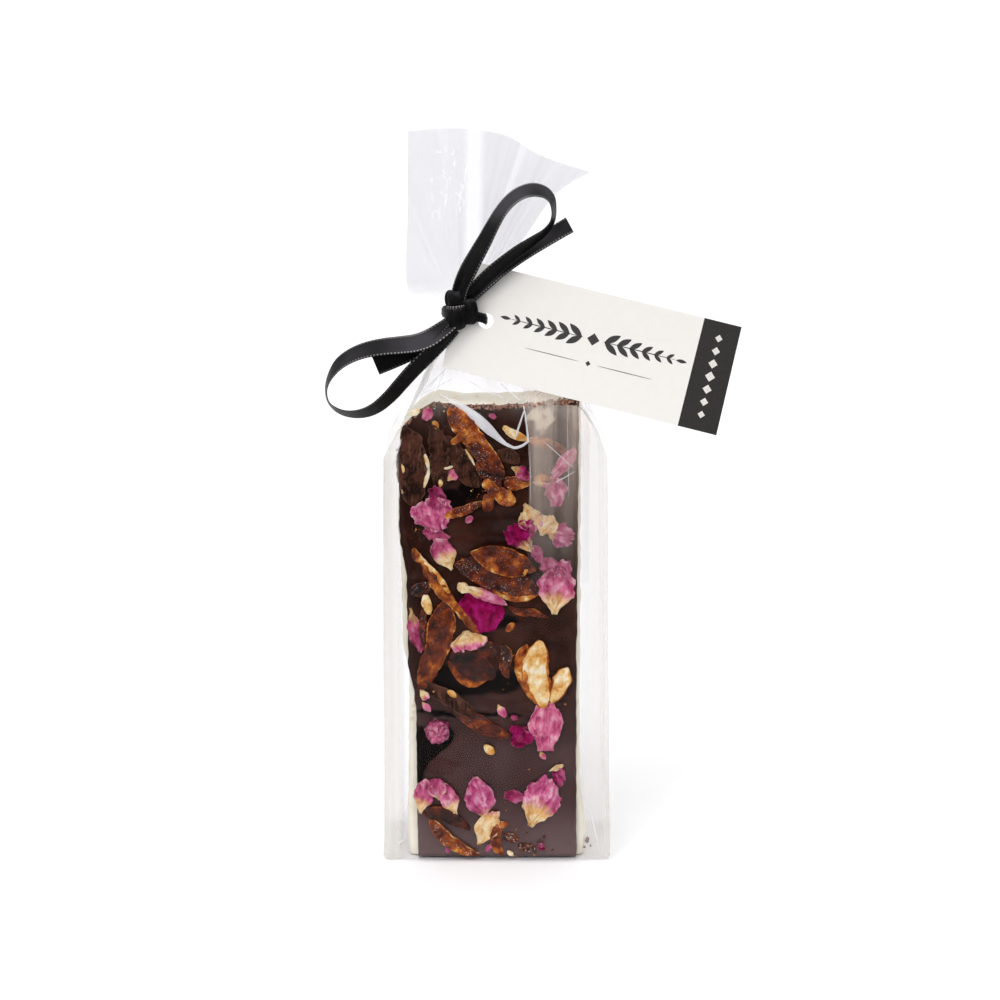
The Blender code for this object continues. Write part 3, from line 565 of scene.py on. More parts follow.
def nougat_finish():
    """Dense pale nougat with a sawn grain and scattered chips of nut."""
    f = new_finish("nougat")
    at = f.place()
    cloud = f.noise(at, 0.12, 4.0)
    grain = f.noise(at, 1.3, 5.0, 0.7)
    cuts = f.noise(f.place(0.25, 0.25, 2.4), 0.9, 2.0)
    wobble = f.node("TexNoise", {}, {"Vector": at, "Scale": 0.30, "Detail": 3.0}).other("Color")
    pushed = f.node("VectorMath", {"operation": "MULTIPLY_ADD"}, {0: wobble, 1: (9.0, 9.0, 9.0), 2: at})
    nuts = f.node("TexVoronoi", {"feature": "F1"}, {"Vector": pushed, "Scale": 0.15})
    chance, kind, _ = f.channels(nuts.other("Color"))
    chip = (1.0 - nuts.step(0.18, 0.30)) * chance.step(0.35, 0.45)
    nut = f.colours(kind.step(0.4, 0.6), (0.66, 0.46, 0.25), (0.78, 0.62, 0.40))
    cream = f.colours(cloud.step(0.3, 0.7), (0.93, 0.895, 0.770), (0.88, 0.825, 0.665))
    cream = f.colours(chip * 0.42, cream, nut)
    cream = f.colours(grain.step(0.62, 0.8) * 0.30, cream, (0.68, 0.55, 0.36))
    normal = f.bump(grain * 0.7 + cuts * 0.5 + chip * 0.4, 0.55, 0.35)
    return f.done(f.surface(colour=cream, roughness=0.62, specular=0.35, normal=normal))


def chocolate_finish():
    """Tempered chocolate. Its attribute holds painted shade in the dark hollows, a painted sheen that stands
    for the floor's reflection, and smears of cream.
    """
    f = new_finish("dark_chocolate")
    painted_hollow_shade, painted_sheen, smear = f.channels(f.attribute("pour"))
    at = f.place()
    cloud = f.noise(at, 0.09, 4.0)
    streak = f.noise(f.place(0.5, 1.0, 0.12), 0.6, 3.0)
    grain = f.noise(at, 2.6, 4.0, 0.7)
    dark = f.colours(cloud.step(0.40, 0.64), (0.021, 0.0060, 0.0034), (0.047, 0.0148, 0.0090))
    # Painted sheen: lighter where the floor's reflection would show, most towards the foot.
    dark = f.colours(painted_sheen * 0.7, dark, (0.052, 0.0180, 0.0185))
    # Painted shade: near black in the dark hollows.
    dark = f.colours(painted_hollow_shade, dark, (0.0030, 0.0012, 0.0009))
    dark = f.colours(grain.step(0.64, 0.78) * (1.0 - painted_hollow_shade) * 0.35, dark, (0.13, 0.070, 0.052))
    # More painted reflection of the floor at the very foot.
    dark = f.colours((painted_sheen - 0.9).math("MAXIMUM", 0.0) * 0.55, dark, (0.130, 0.078, 0.076))
    dark = f.colours(smear * (0.45 + grain), dark, (0.80, 0.72, 0.58))
    normal = f.bump(cloud + streak * 0.35 + grain * 0.10, 0.35, 0.5)
    coat = (0.12 + painted_sheen * 0.34) * (1.0 - painted_hollow_shade)
    return f.done(f.surface(colour=dark, roughness=0.38 + grain * 0.14, specular=0.04, coat=coat,
                            coat_roughness=0.13, normal=normal))


def fruit_finish():
    """Dried fig and date. The attribute flesh holds tone, sugar, how near a rim, and the skin's tone."""
    f = new_finish("dried_fig")
    flesh = f.attribute("flesh")
    own_tone, sugar, rim = f.channels(flesh)
    skin = flesh.other("Alpha")
    at = f.place()
    pools = f.noise(at, 0.24, 2.0, 0.5)
    patchy = f.noise(at, 0.70, 4.0, 0.6)
    fibres = f.noise(at, 2.4, 3.0, 0.6)
    pale = own_tone.step(0.80, 0.90)
    at_rim = (rim + (patchy - 0.5) * 0.4 + pale * 0.12).step(0.88, 0.98)
    tone = own_tone + (skin - own_tone) * at_rim + (pools - 0.5) * (1.15 - pale * 0.55)
    tone = tone + (fibres - 0.5) * 0.12 - 0.03 + (patchy - 0.5) * (0.55 - pale * 0.25)
    stops = [(0.0, (0.007, 0.003, 0.002)), (0.13, (0.026, 0.006, 0.004)), (0.27, (0.058, 0.009, 0.0035)),
             (0.42, (0.118, 0.017, 0.003)), (0.56, (0.240, 0.047, 0.006)), (0.70, (0.460, 0.130, 0.016)),
             (0.82, (0.640, 0.290, 0.055)), (0.93, (0.800, 0.560, 0.240)), (1.0, (0.860, 0.760, 0.560))]
    colour = f.node("ValToRGB", {"stops": stops}, {0: tone})
    specks = f.node("TexVoronoi", {}, {"Vector": at, "Scale": 1.35})
    dust = (1.0 - specks.step(0.16, 0.27)) * f.noise(at, 0.4, 2.0).step(0.42, 0.58) * sugar
    veil_of_sugar = f.noise(at, 1.1, 4.0, 0.75).step(0.50, 0.68) * sugar * 0.18
    colour = f.colours(veil_of_sugar, colour, (0.50, 0.34, 0.24))
    colour = f.colours(dust, colour, (0.92, 0.82, 0.68))
    normal = f.bump(fibres * 0.25 + patchy, 0.75, 0.50)
    roughness = 0.30 + patchy * 0.20 + dust * 0.3
    return f.done(f.surface(colour=colour, roughness=roughness, specular=0.06, coat=0.24,
                            coat_roughness=0.05, normal=normal))


def coated_finish():
    """Fruit strips coated in chocolate: dull brown, with a painted highlight on their ridges and rims, and pale
    specks of dust.
    """
    f = new_finish("coated_strips")
    at = f.place()
    cloud = f.noise(at, 0.22, 3.0, 0.55)
    ridge = f.noise(f.place(1.4, 1.4, 0.25), 0.9, 3.0, 0.6)
    grain = f.noise(at, 2.0, 4.0, 0.7)
    _, _, rim = f.channels(f.attribute("flesh"))
    brown = f.colours(cloud.step(0.38, 0.62), (0.014, 0.0045, 0.0028), (0.072, 0.0250, 0.0145))
    # Painted highlight along the ridges.
    brown = f.colours(ridge.step(0.52, 0.66) * 0.50, brown, (0.150, 0.074, 0.049))
    # Painted highlight at the rims.
    brown = f.colours((rim + (grain - 0.5) * 0.5).step(0.84, 0.98) * 0.55, brown, (0.190, 0.098, 0.064))
    brown = f.colours(grain.step(0.60, 0.72) * 0.35, brown, (0.36, 0.24, 0.17))
    normal = f.bump(ridge + grain * 0.25, 0.6, 0.4)
    return f.done(f.surface(colour=brown, roughness=0.48 + grain * 0.1, specular=0.05, normal=normal))


def petal_finish():
    """Dry rose petal. The attribute petal holds how cream its base is, magenta, lilac, and its folds, which get
    a painted highlight on their crests and painted shade in their valleys.
    """
    f = new_finish("rose_petal")
    paint = f.attribute("petal")
    cream, magenta, lilac = f.channels(paint)
    folds = paint.other("Alpha")
    across, reach, _ = f.split(f.node("UVMap", {"uv_map": "petal_uv"}))
    at = f.place()
    broad = f.noise(at, 0.15, 2.0, 0.5)
    patchy = f.noise(at, 0.42, 4.0, 0.6)
    crepe = f.noise(at, 1.5, 4.0, 0.7)
    ribs = f.node("CombineXYZ", {}, {0: across * 26.0, 1: reach * 2.0, 2: cream * 31.0})
    veins = f.noise(ribs, 1.0, 2.0, 0.6)
    rim = ((across - 0.5).size() * 2.0).math("MAXIMUM", reach)
    # Painted highlight on the folds' crests, and painted shade in their valleys.
    high = (folds + (crepe - 0.5) * 0.5).step(0.50, 0.95)
    low = 1.0 - (folds + (crepe - 0.5) * 0.5).step(0.10, 0.48)
    depth = (magenta + (broad - 0.5) * 1.6).math("MINIMUM", 1.0).math("MAXIMUM", 0.0)
    pink = f.colours(depth, (0.86, 0.235, 0.385), (0.265, 0.0012, 0.064))
    pink = f.colours(lilac * 0.8, pink, (0.44, 0.070, 0.245))
    pink = f.colours(veins.step(0.48, 0.62) * 0.42, pink, (0.30, 0.006, 0.085))
    bright = f.colours(depth, (0.97, 0.60, 0.67), (0.40, 0.010, 0.150))
    # Painted highlight and painted shade of the folds, on the pink.
    pink = f.colours(high * 0.85, pink, f.colours(lilac * 0.5, bright, (0.78, 0.36, 0.56)))
    pink = f.colours(low * 0.70, pink, f.colours(depth, (0.42, 0.020, 0.130), (0.095, 0.0008, 0.024)))
    gold = f.colours(patchy.step(0.36, 0.62), (0.93, 0.77, 0.45), (0.80, 0.46, 0.16))
    gold = f.colours(veins.step(0.52, 0.64) * 0.40, gold, (0.48, 0.20, 0.06))
    # Painted highlight and painted shade of the folds, on the cream base.
    gold = f.colours(high * 0.45, gold, (0.96, 0.84, 0.62))
    gold = f.colours(low * 0.50, gold, (0.46, 0.19, 0.07))
    edge = cream * 1.25 - reach + (patchy - 0.5) * 0.5 + (veins - 0.5) * 0.25
    colour = f.colours(edge.step(-0.12, 0.16) * cream.step(0.01, 0.08), pink, gold)
    curl = rim.step(0.90, 0.98) * patchy.step(0.48, 0.60) * (1.0 - magenta * 0.8)
    colour = f.colours(curl * 0.60, colour, (0.96, 0.68, 0.55))
    normal = f.bump(veins * 0.45 + crepe, 1.0, 0.5)
    return f.done(f.surface(colour=colour, roughness=0.60, specular=0.06, normal=normal))


def crumb_finish():
    """Broken chocolate, paler than its poured face."""
    f = new_finish("chocolate_crumbs")
    at = f.place()
    grain = f.noise(at, 0.9, 4.0, 0.7)
    colour = f.colours(grain.step(0.38, 0.60), (0.115, 0.040, 0.024), (0.46, 0.235, 0.150))
    return f.done(f.surface(colour=colour, roughness=0.6, normal=f.bump(grain, 0.7, 0.4)))


def clear_film(name, tint, shine, haze):
    """Clear film, with a shine that grows at a slant. haze gives its milkiness and the milk's colour."""
    f = new_finish(name)
    at = f.place()
    soft = f.noise(f.place(0.6, 0.6, 0.16), 0.11, 3.0)
    fine = f.noise(f.place(1.0, 1.0, 0.3), 0.4, 2.0, 0.5)
    normal = f.bump(soft * 1.6 + fine * 0.10, 0.35, 1.2)
    slant = f.node("LayerWeight", {}, {"Blend": 0.5, "Normal": normal}).other("Facing")
    reflect = shine + (1.0 - shine) * slant ** 5.0
    clear = f.node("BsdfTransparent", {}, {"Color": (*tint, 1.0)})
    gloss = f.node("BsdfGlossy", {}, {"Color": (1, 1, 1, 1), "Roughness": 0.05, "Normal": normal})
    share, colour = haze(f, at, soft)
    milk = f.surface(colour=colour, roughness=0.35, specular=0.4, normal=normal)
    sheet = f.node("MixShader", {}, {0: reflect, 1: clear, 2: gloss})
    return f.done(f.node("MixShader", {}, {0: share, 1: sheet, 2: milk}))


def bag_haze(f, at, soft):
    """The bag is milky in its shoulders, sides, lap seam and fan. On the fan, its ridge, rays of glare and a
    few glint marks are left clearer as painted highlights.
    """
    x, y, z = f.split(at)
    shoulder_part = z.step(152, 166) * (1.0 - z.step(186, 194))
    side_part = (x.step(28.8, 30.2) * 0.22 + (x * -1.0).step(32.4, 34.0) * 0.33) * (1.0 - z.step(150, 166))
    outer = x.size().step(35.6, 37.4) * (1.0 - z.step(138, 150))
    seam = (1.0 - x.size().step(3.6, 4.2)) * y.step(10, 18) * 0.10
    fan_part = z.step(190, 198)
    angle = (z - 184.0).math("ARCTAN2", x + 12.0)
    rays = f.noise(f.node("CombineXYZ", {}, {0: angle * 7.0}), 1.0, 3.0, 0.6)
    # Painted highlight: rays of glare, where the fan is clearer.
    glare_rays = rays.step(0.50, 0.66) * x.step(-14, 0)
    fine_rays = f.noise(f.node("CombineXYZ", {}, {0: angle * 26.0, 1: z * 0.01}), 1.0, 2.0, 0.5)
    # Painted highlight: a few glint marks, where the fan is clearer.
    marks_part = z.step(214, 224) * (1.0 - z.step(240, 246)) * (1.0 - (x + 16.0).size().step(5, 8))
    glint_marks = f.noise(f.place(1.5, 1.0, 0.7), 0.30, 3.0, 0.6).step(0.58, 0.64) * marks_part
    # Painted highlight: the fan's ridge is left clearer.
    ridge = 1.0 - (x + 8.5 - (z - 190.0) * 0.02).size().step(1.2, 4.2)
    share = soft.step(0.44, 0.62) * shoulder_part * 0.14 + shoulder_part * 0.06 + side_part + outer * 0.06
    fan = (1.0 - ridge * 0.85) * (1.0 - glare_rays * 0.5) * (1.0 - glint_marks * 0.8) * (0.75 + fine_rays * 0.5)
    return share + seam + fan_part * 0.25 * fan, f.colours(fan_part, (0.82, 0.79, 0.745), (0.75, 0.745, 0.79))


def veil_reflection_haze(f, at, soft):
    """The folded film at the upper right: a painted reflection, milky at the top, clearing downwards, in
    upright streaks.
    """
    _, _, z = f.split(at)
    streaks = f.noise(f.place(1.0, 0.2, 0.05), 0.26, 3.0, 0.55)
    share = z.step(88, 156) * (0.19 + streaks.step(0.36, 0.66) * 0.26) * (1.0 - z.step(160, 168) * 0.6)
    return share, (0.88, 0.73, 0.62)


def flap_reflection_haze(f, at, soft):
    """The turned flap is nearly white as a painted reflection, and clearer towards its thin upper end."""
    x, _, _ = f.split(at)
    return x.step(-19.0, -9.0) * 0.40 + soft.step(0.4, 0.6) * 0.14 + 0.12, (0.93, 0.93, 0.95)


def crease_highlight_haze(f, at, soft):
    """A crease is whiter than the film round it, as a painted highlight, more in some places than others."""
    return soft.step(0.35, 0.65) * 0.20 + 0.16, (0.97, 0.97, 0.98)


def satin_finish():
    """Black satin ribbon: fine weft lines across it, a row of stitches along each selvedge, and a painted sheen
    where it faces up and to the front.
    """
    f = new_finish("black_satin")
    across, length, _ = f.split(f.node("UVMap", {"uv_map": "ribbon"}))
    weft = (length * 22.0).math("FRACT")
    cloud = f.noise(f.place(), 0.35, 3.0)
    off_middle = (across - 0.5).size()
    off_stitch = ((length / STITCH_PITCH).math("FRACT") - 0.5).size()
    stitch = (1.0 - (off_middle - 0.435).size().step(0.022, 0.050)) * (1.0 - off_stitch.step(0.20, 0.28))
    _, back, up = f.split(f.node("NewGeometry").other("Normal"))
    sway = f.noise(f.place(), 0.055, 1.0).step(0.38, 0.62)
    # Painted sheen: lighter where the satin faces up and to the front, and its stitches show more there.
    painted_satin_sheen = up.step(0.12, 0.62) * (back * -1.0).step(0.1, 0.5) * (0.15 + sway * 0.85)
    painted_satin_sheen = painted_satin_sheen * (1.0 - off_middle.step(0.44, 0.47))
    colour = f.colours(cloud.step(0.3, 0.7), (0.0026, 0.0023, 0.0026), (0.0060, 0.0052, 0.0056))
    colour = f.colours(painted_satin_sheen * 0.75, colour, (0.060, 0.056, 0.064))
    colour = f.colours(stitch * (0.25 + painted_satin_sheen * 0.65), colour, (0.46, 0.45, 0.43))
    normal = f.bump(weft * 0.05 + cloud * 0.2 + stitch * 0.4, 0.5, 0.25)
    return f.done(f.surface(colour=colour, roughness=0.34 + cloud * 0.12, specular=0.07, normal=normal))


def tag_axes():
    """The tag's direction along it, away from its hole, and its upright one before it leans."""
    level = math.sqrt(1 - TAG_FORWARD ** 2)
    length = Vector((math.cos(TAG_SLOPE) * level, -TAG_FORWARD, -math.sin(TAG_SLOPE) * level))
    return length, Vector((math.sin(TAG_SLOPE), 0, math.cos(TAG_SLOPE)))


def tag_point(reach, rise, front):
    """A point of the tag: reach along it from the hole, rise above its middle line, front off it."""
    share = (reach + TAG_HOLE_INSET) / TAG_LENGTH
    lean = mix(TAG_LEAN_LEFT, TAG_LEAN_RIGHT, share)
    length, upright = tag_axes()
    height = upright * math.cos(lean) + Vector((0, 1, 0)) * math.sin(lean)
    face = length.cross(height).normalized()
    return TAG_HOLE + length * reach + height * rise + face * front


def card_finish():
    """Uncoated ivory card, with a dark band printed across the front at its far end."""
    f = new_finish("tag_card")
    at = f.place()
    length, _ = tag_axes()
    from_hole = f.node("VectorMath", {"operation": "SUBTRACT"}, {0: at, 1: tuple(TAG_HOLE)})
    reach = f.node("VectorMath", {"operation": "DOT_PRODUCT"}, {0: from_hole, 1: tuple(length)})
    reach = reach.other("Value")
    _, facing, _ = f.split(f.node("NewGeometry").other("Normal"))
    start = TAG_LENGTH - TAG_HOLE_INSET - TAG_BAND
    band = reach.step(start - 0.04, start + 0.04) * (1.0 - facing.step(-0.5, -0.3))
    fibre = f.noise(at, 2.4, 4.0, 0.65)
    mottle = f.noise(at, 0.3, 3.0)
    card = f.colours(mottle.step(0.3, 0.7), (0.850, 0.830, 0.790), (0.838, 0.816, 0.774))
    card = f.colours(fibre.step(0.62, 0.8) * 0.08, card, (0.70, 0.66, 0.60))
    ink = f.colours(fibre.step(0.4, 0.8), (0.016, 0.014, 0.012), (0.030, 0.027, 0.024))
    return f.done(f.surface(colour=f.colours(band, card, ink), roughness=0.72 - band * 0.2, specular=0.3,
                            normal=f.bump(fibre, 0.25, 0.08)))


def plain_finish(name, colour, roughness, grain_scale, grain_mm):
    """A finish of one colour, a little uneven, with a fine grain."""
    f = new_finish(name)
    grain = f.noise(f.place(), grain_scale, 3.0)
    darker = tuple(0.86 * c for c in colour)
    return f.done(f.surface(colour=f.colours(grain.step(0.3, 0.7), colour, darker), roughness=roughness,
                            normal=f.bump(grain, 0.3, grain_mm)))


# Meshes


def sheet(columns, rows, place, uv_name=None, uv_place=None, attribute=None, paint=None):
    """A bmesh grid, its points put in place by place(across, along), both from 0 to 1, in mm."""
    bm = bmesh.new()
    uv = bm.loops.layers.uv.new(uv_name) if uv_name else None
    layer = bm.verts.layers.float_color.new(attribute) if attribute else None
    bmesh.ops.create_grid(bm, x_segments=columns, y_segments=rows, size=0.5)
    if uv:
        for face in bm.faces:
            for loop in face.loops:
                s, t = loop.vert.co.x + 0.5, loop.vert.co.y + 0.5
                loop[uv].uv = uv_place(s, t) if uv_place else (s, t)
    for vert in bm.verts:
        s, t = vert.co.x + 0.5, vert.co.y + 0.5
        if layer:
            vert[layer] = paint(s, t)
        vert.co = Vector(place(s, t)) * MM
    return bm


def welded(bm):
    """Joins the edges of a grid that was put in place as a tube, and turns its faces outwards."""
    bmesh.ops.remove_doubles(bm, verts=bm.verts, dist=WELD)
    flat = [face for face in bm.faces if face.calc_area() < NO_AREA]
    if flat:
        bmesh.ops.delete(bm, geom=flat, context="FACES")
    bmesh.ops.recalc_face_normals(bm, faces=bm.faces)
    return bm


def capped(bm):
    """Closes the open ends of a tube."""
    bmesh.ops.holes_fill(bm, edges=[e for e in bm.edges if e.is_boundary], sides=100)
    bmesh.ops.recalc_face_normals(bm, faces=bm.faces)
    return bm


def extruded(bm):
    """Extrudes all faces of a sheet, and gives the new points."""
    made = bmesh.ops.extrude_face_region(bm, geom=list(bm.faces))["geom"]
    return [v for v in made if isinstance(v, bmesh.types.BMVert)]


def thicken(bm, wall):
    """Gives an open sheet that faces the front a wall, as a closed skin."""
    bmesh.ops.translate(bm, vec=(0, wall * MM, 0), verts=extruded(bm))
    bmesh.ops.recalc_face_normals(bm, faces=bm.faces)
    return bm


def add_to(total, bm):
    """Adds a bmesh to a larger one, and frees it."""
    mesh = bpy.data.meshes.new("part")
    bm.to_mesh(mesh)
    bm.free()
    total.from_mesh(mesh)
    bpy.data.meshes.remove(mesh)


def finished(name, bm, material, angle=180, replaces=None):
    """Makes a bmesh a smooth-shaded object of the part with the material given, and hides the CAD part it
    replaces.
    """
    mesh = bpy.data.meshes.new(name)
    bm.to_mesh(mesh)
    bm.free()
    mesh.materials.append(material)
    mesh.shade_smooth()
    if angle < 180:
        mesh.set_sharp_from_angle(angle=math.radians(angle))
    made = bpy.data.objects.new(name, mesh)
    bpy.context.scene.collection.objects.link(made)
    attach(made, "root")
    if replaces:
        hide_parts(replaces)


def film_lift(x, z):
    """How far the bar and its toppings push the front film forward."""
    over_bar = smooth((BAR_WIDTH / 2 + LIFT_REACH - abs(x)) / LIFT_SPREAD)
    over_bar *= smooth((BAR_HEIGHT + LIFT_REACH - z) / LIFT_SPREAD)
    lump = max(h * (1 - ((x - mx) ** 2 + (z - mz) ** 2) / r ** 2) for mx, mz, r, h in FILM_LUMPS)
    return over_bar * (BAR_LIFT + max(0.0, lump))


def shoulder(z):
    """The bag's left, right, front and back at height z, and how round it is there."""
    lowest = SHOULDERS[0]
    if z <= lowest[0]:
        share = z / lowest[0]
        left, right = mix(-BAG_WIDTH / 2, lowest[1], share), mix(BAG_WIDTH / 2, lowest[2], share)
        return left, right, -BAG_DEPTH / 2, BAG_DEPTH / 2, 0.0
    for low, high in zip(SHOULDERS, SHOULDERS[1:]):
        if z <= high[0]:
            share = (z - low[0]) / (high[0] - low[0])
            return tuple(mix(a, b, share) for a, b in zip(low[1:], high[1:]))
    return (NECK.x - NECK_HALF_WIDTH, NECK.x + NECK_HALF_WIDTH,
            NECK.y - NECK_HALF_DEPTH, NECK.y + NECK_HALF_DEPTH, 1.0)


def on_square(step):
    """Where a step is on the front half of a square outline, from the left side's middle to the right's."""
    if step <= SIDE_HALF_STEPS:
        return -1.0, -step / SIDE_HALF_STEPS
    if step >= HALF_STEPS - SIDE_HALF_STEPS:
        return 1.0, -(HALF_STEPS - step) / SIDE_HALF_STEPS
    return 2 * (step - SIDE_HALF_STEPS) / (HALF_STEPS - 2 * SIDE_HALF_STEPS) - 1, -1.0


def bag_point(around, z, inset=0.0):
    """A point of the bag's film at height z, round it from the left side's middle by the front."""
    left, right, front, back, roundness = shoulder(z)
    middle_x, middle_y = (left + right) / 2, (front + back) / 2
    half_x, half_y = (right - left) / 2 - inset, (back - front) / 2 - inset
    round_share = mix(CREASE_SOFTNESS, 1.0, roundness)
    gusset = GUSSET_FOLD * (1 - roundness) * smooth(z / GUSSET_FULL_AT)
    half = 1 if around < 0.5 else -1
    step = (around * 2 % 1) * HALF_STEPS
    u, v = on_square(step)
    turn = math.pi * step / HALF_STEPS
    x = half * half_x * mix(u, -math.cos(turn), round_share)
    y = half * half_y * mix(v, -math.sin(turn), round_share)
    if abs(u) == 1.0:
        x -= math.copysign(gusset * (1 - abs(v)), x)
    if half == 1 and v == -1.0:
        y -= film_lift(middle_x + x, z) * (1 - roundness)
    return Vector((middle_x + x, middle_y + y, z))


def film_front(x, z):
    """How far forward the front film is, at a place on the bar."""
    _, _, front, _, roundness = shoulder(z)
    return -front + film_lift(x, z) * (1 - roundness)


def ridged(at, seed):
    """Sharp ridges, from 0 to 1."""
    return 1 - min(1.0, 3.2 * abs(noise.noise(at + Vector((0, 0, seed)))))


def crumpled(point, around):
    """Draws the bag's film in by its folds and wrinkles, more of them towards the neck."""
    _, _, _, _, roundness = shoulder(point.z)
    axis = Vector((mix(0.0, NECK.x, roundness), mix(0.0, NECK.y, roundness), point.z))
    inward = (axis - point).normalized()
    turn = 2 * math.pi * around
    gathers = smooth((point.z - 140) / 24) * (1 - 0.75 * smooth((point.z - 172) / 12))
    waver = 1.4 * noise.noise(Vector((turn * 1.5, point.z / 22, 3)))
    pleats = (0.5 + 0.5 * math.cos(19 * turn + 3 * waver)) ** 2 * (0.6 + 0.4 * math.sin(5 * turn + waver))
    fold = 2.2 * gathers * pleats
    upright = Vector((point.x / 9, point.y / 9, point.z / 40))
    crease = ridged(upright, 1.0) ** 3 * mix(0.04, 0.6, smooth((point.z - 125) / 35))
    dents = 0.5 + 0.5 * noise.noise(Vector((point.x / 14, point.y / 14, point.z / 26)))
    over_bar = smooth((31 - abs(point.x)) / 4) * smooth((160 - point.z) / 6) if point.y < 0 else 0.0
    soft = mix(0.9, 0.25, over_bar) * smooth(point.z / 8)
    return point + inward * (fold + (crease + dents * 0.6) * soft)


def fan_point(around, share):
    """A point of the open fan at share of the way from the neck to its mouth, front first."""
    row = [Vector(along(fold, share)) for fold in FAN_FOLDS]
    puff = mix(NECK_HALF_DEPTH - 0.4, FAN_PUFF, smooth(share * 3)) + (MOUTH_PUFF - FAN_PUFF) * share ** 2
    front = around < 0.5
    across = around * 2 if front else 2 - around * 2
    bulge = puff * math.sqrt(max(0.0, 1 - (2 * across - 1) ** 2))
    place = Vector(along(row, across)) + Vector((0, -bulge if front else bulge, 0))
    at_neck = 1 - smooth(share * 5)
    place += Vector(((place.x - NECK.x) * 0.4, -0.5, 0)) * at_neck
    rays = math.cos(31 * across + 2.2 * noise.noise(Vector((across * 4, share * 2, 5))))
    ripple = 0.55 * rays * (1 - share) ** 1.5
    ripple += 0.5 * noise.noise(Vector((across * 5, share * 3, 8 + front * 3)))
    return place + Vector((0, ripple * min(1.0, 8 * across * (1 - across)) * smooth(share * 4), 0))


def film_bag():
    """The bag: its base, its body drawn in to the neck, and the fan above, as one thin film."""
    columns, base_rows, body_rows, fan_rows = 192, 3, 104, 40
    rows = base_rows + body_rows + fan_rows

    def place(around, share):
        row = share * rows
        around = around % 1.0
        if row < base_rows:
            return mix(Vector((0, 0, 0)), bag_point(around, 0.0, BASE_ROUNDING), row / base_rows)
        if row <= base_rows + body_rows:
            z = mix(0.0, NECK_TOP, (row - base_rows) / body_rows)
            inset = BASE_ROUNDING * (1 - smooth(z / 1.2))
            return crumpled(bag_point(around, z, inset), around)
        return fan_point(around, (row - base_rows - body_rows) / fan_rows)

    film = clear_film("clear_film", (0.945, 0.940, 0.950), 0.004, bag_haze)
    finished("film_bag", welded(sheet(columns, rows, place)), film, angle=50, replaces="bag")


def film_fold():
    """The film folded over inside the front, at the bar's upper right, whose milky veil is a painted
    reflection.
    """
    def place(s, t):
        z = mix(98, 166, t)
        left = 10.6 + 1.2 * rough(z, 0, 14, 2) - 2.5 * smooth((z - 150) / 16)
        x = mix(left, 31.0 - 9 * smooth((z - 150) / 18), s)
        depth = film_front(x, z) - VEIL_ROOM - 0.35 * abs(rough(x * 2.2, z / 4, 5, 4))
        return x, -depth, z

    film = clear_film("clear_film_folded", (0.965, 0.963, 0.968), 0.012, veil_reflection_haze)
    finished("film_fold", sheet(30, 60, place), film, angle=50)


def film_flap():
    """The turned flap at the fold's upper left, made bright by a painted reflection, and the creases that run
    up from it.
    """
    flap = bmesh.new()
    for raised, route in FLAP_ROUTES:
        add_to(flap, flap_sheet(route, raised))
    film = clear_film("clear_film_flap", (0.93, 0.93, 0.94), 0.05, flap_reflection_haze)
    finished("film_flap", flap, film, angle=50)


def film_at(x, z):
    """The front film's own point at x and height z, wrinkles and all, and never round its corner."""
    left, right, _, _, roundness = shoulder(z)
    reach = (right - left) / 2 * mix(0.95, 0.72, roundness)
    x = min(max(x, (left + right) / 2 - reach), (left + right) / 2 + reach)
    low, high = 0.0, 0.5
    for _ in range(16):
        middle = (low + high) / 2
        if crumpled(bag_point(middle, z), middle).x < x:
            low = middle
        else:
            high = middle
    return crumpled(bag_point(low, z), low)


def film_creases():
    """The straight creases of the front film, as narrow ridges along it, made bright by a painted highlight."""
    total = bmesh.new()
    for x1, z1, x2, z2, width in CREASES:
        slope = Vector((z1 - z2, x2 - x1)).normalized()

        def place(s, t):
            a = (2 * s - 1) * width / 2 * math.sin(math.pi * t) ** 0.5
            spot = film_at(mix(x1, x2, t) + slope.x * a, mix(z1, z2, t) + slope.y * a)
            return spot + Vector((0, -0.06 - 0.10 * (1 - (2 * s - 1) ** 2), 0))

        bm = sheet(4, 26, place)
        bmesh.ops.remove_doubles(bm, verts=bm.verts, dist=WELD)
        add_to(total, thicken(bm, CREASE_WALL))
    film = clear_film("clear_film_creased", (0.95, 0.95, 0.96), 0.03, crease_highlight_haze)
    finished("film_creases", total, film, angle=50)


def flap_sheet(route, raised):
    """A narrow turned fold of film along a route of x, z and width, just inside the front film."""
    def place(s, t):
        x, z, width = along(route, t)
        ahead = heading(route, t, 0.02, 2)
        side = Vector((-ahead.y, ahead.x))
        turn = 2 * math.pi * s
        a, b = math.cos(turn) * width / 2, math.sin(turn) * min(0.28, width / 4)
        px, pz = x + side.x * a, z + side.y * a
        front = film_front(px, pz) - FLAP_ROOM + raised * 0.2 * math.cos(a)
        return px, -(front + b), pz

    return capped(welded(sheet(16, 40, place)))


def wave(x, z):
    """How much the poured chocolate stands proud of, or sinks from, its mean face."""
    total = 0.42 * rough(x, z, 15, 1) + 0.22 * rough(x, z * 1.4, 6.5, 2) + 0.06 * rough(x, z, 2.2, 3)
    for wx, wz, half_x, half_z, height in CHOCOLATE_WAVES:
        away = ((x - wx) / half_x) ** 2 + ((z - wz) / half_z) ** 2
        if away < 1:
            total += height * (1 - away) ** 2
    return total


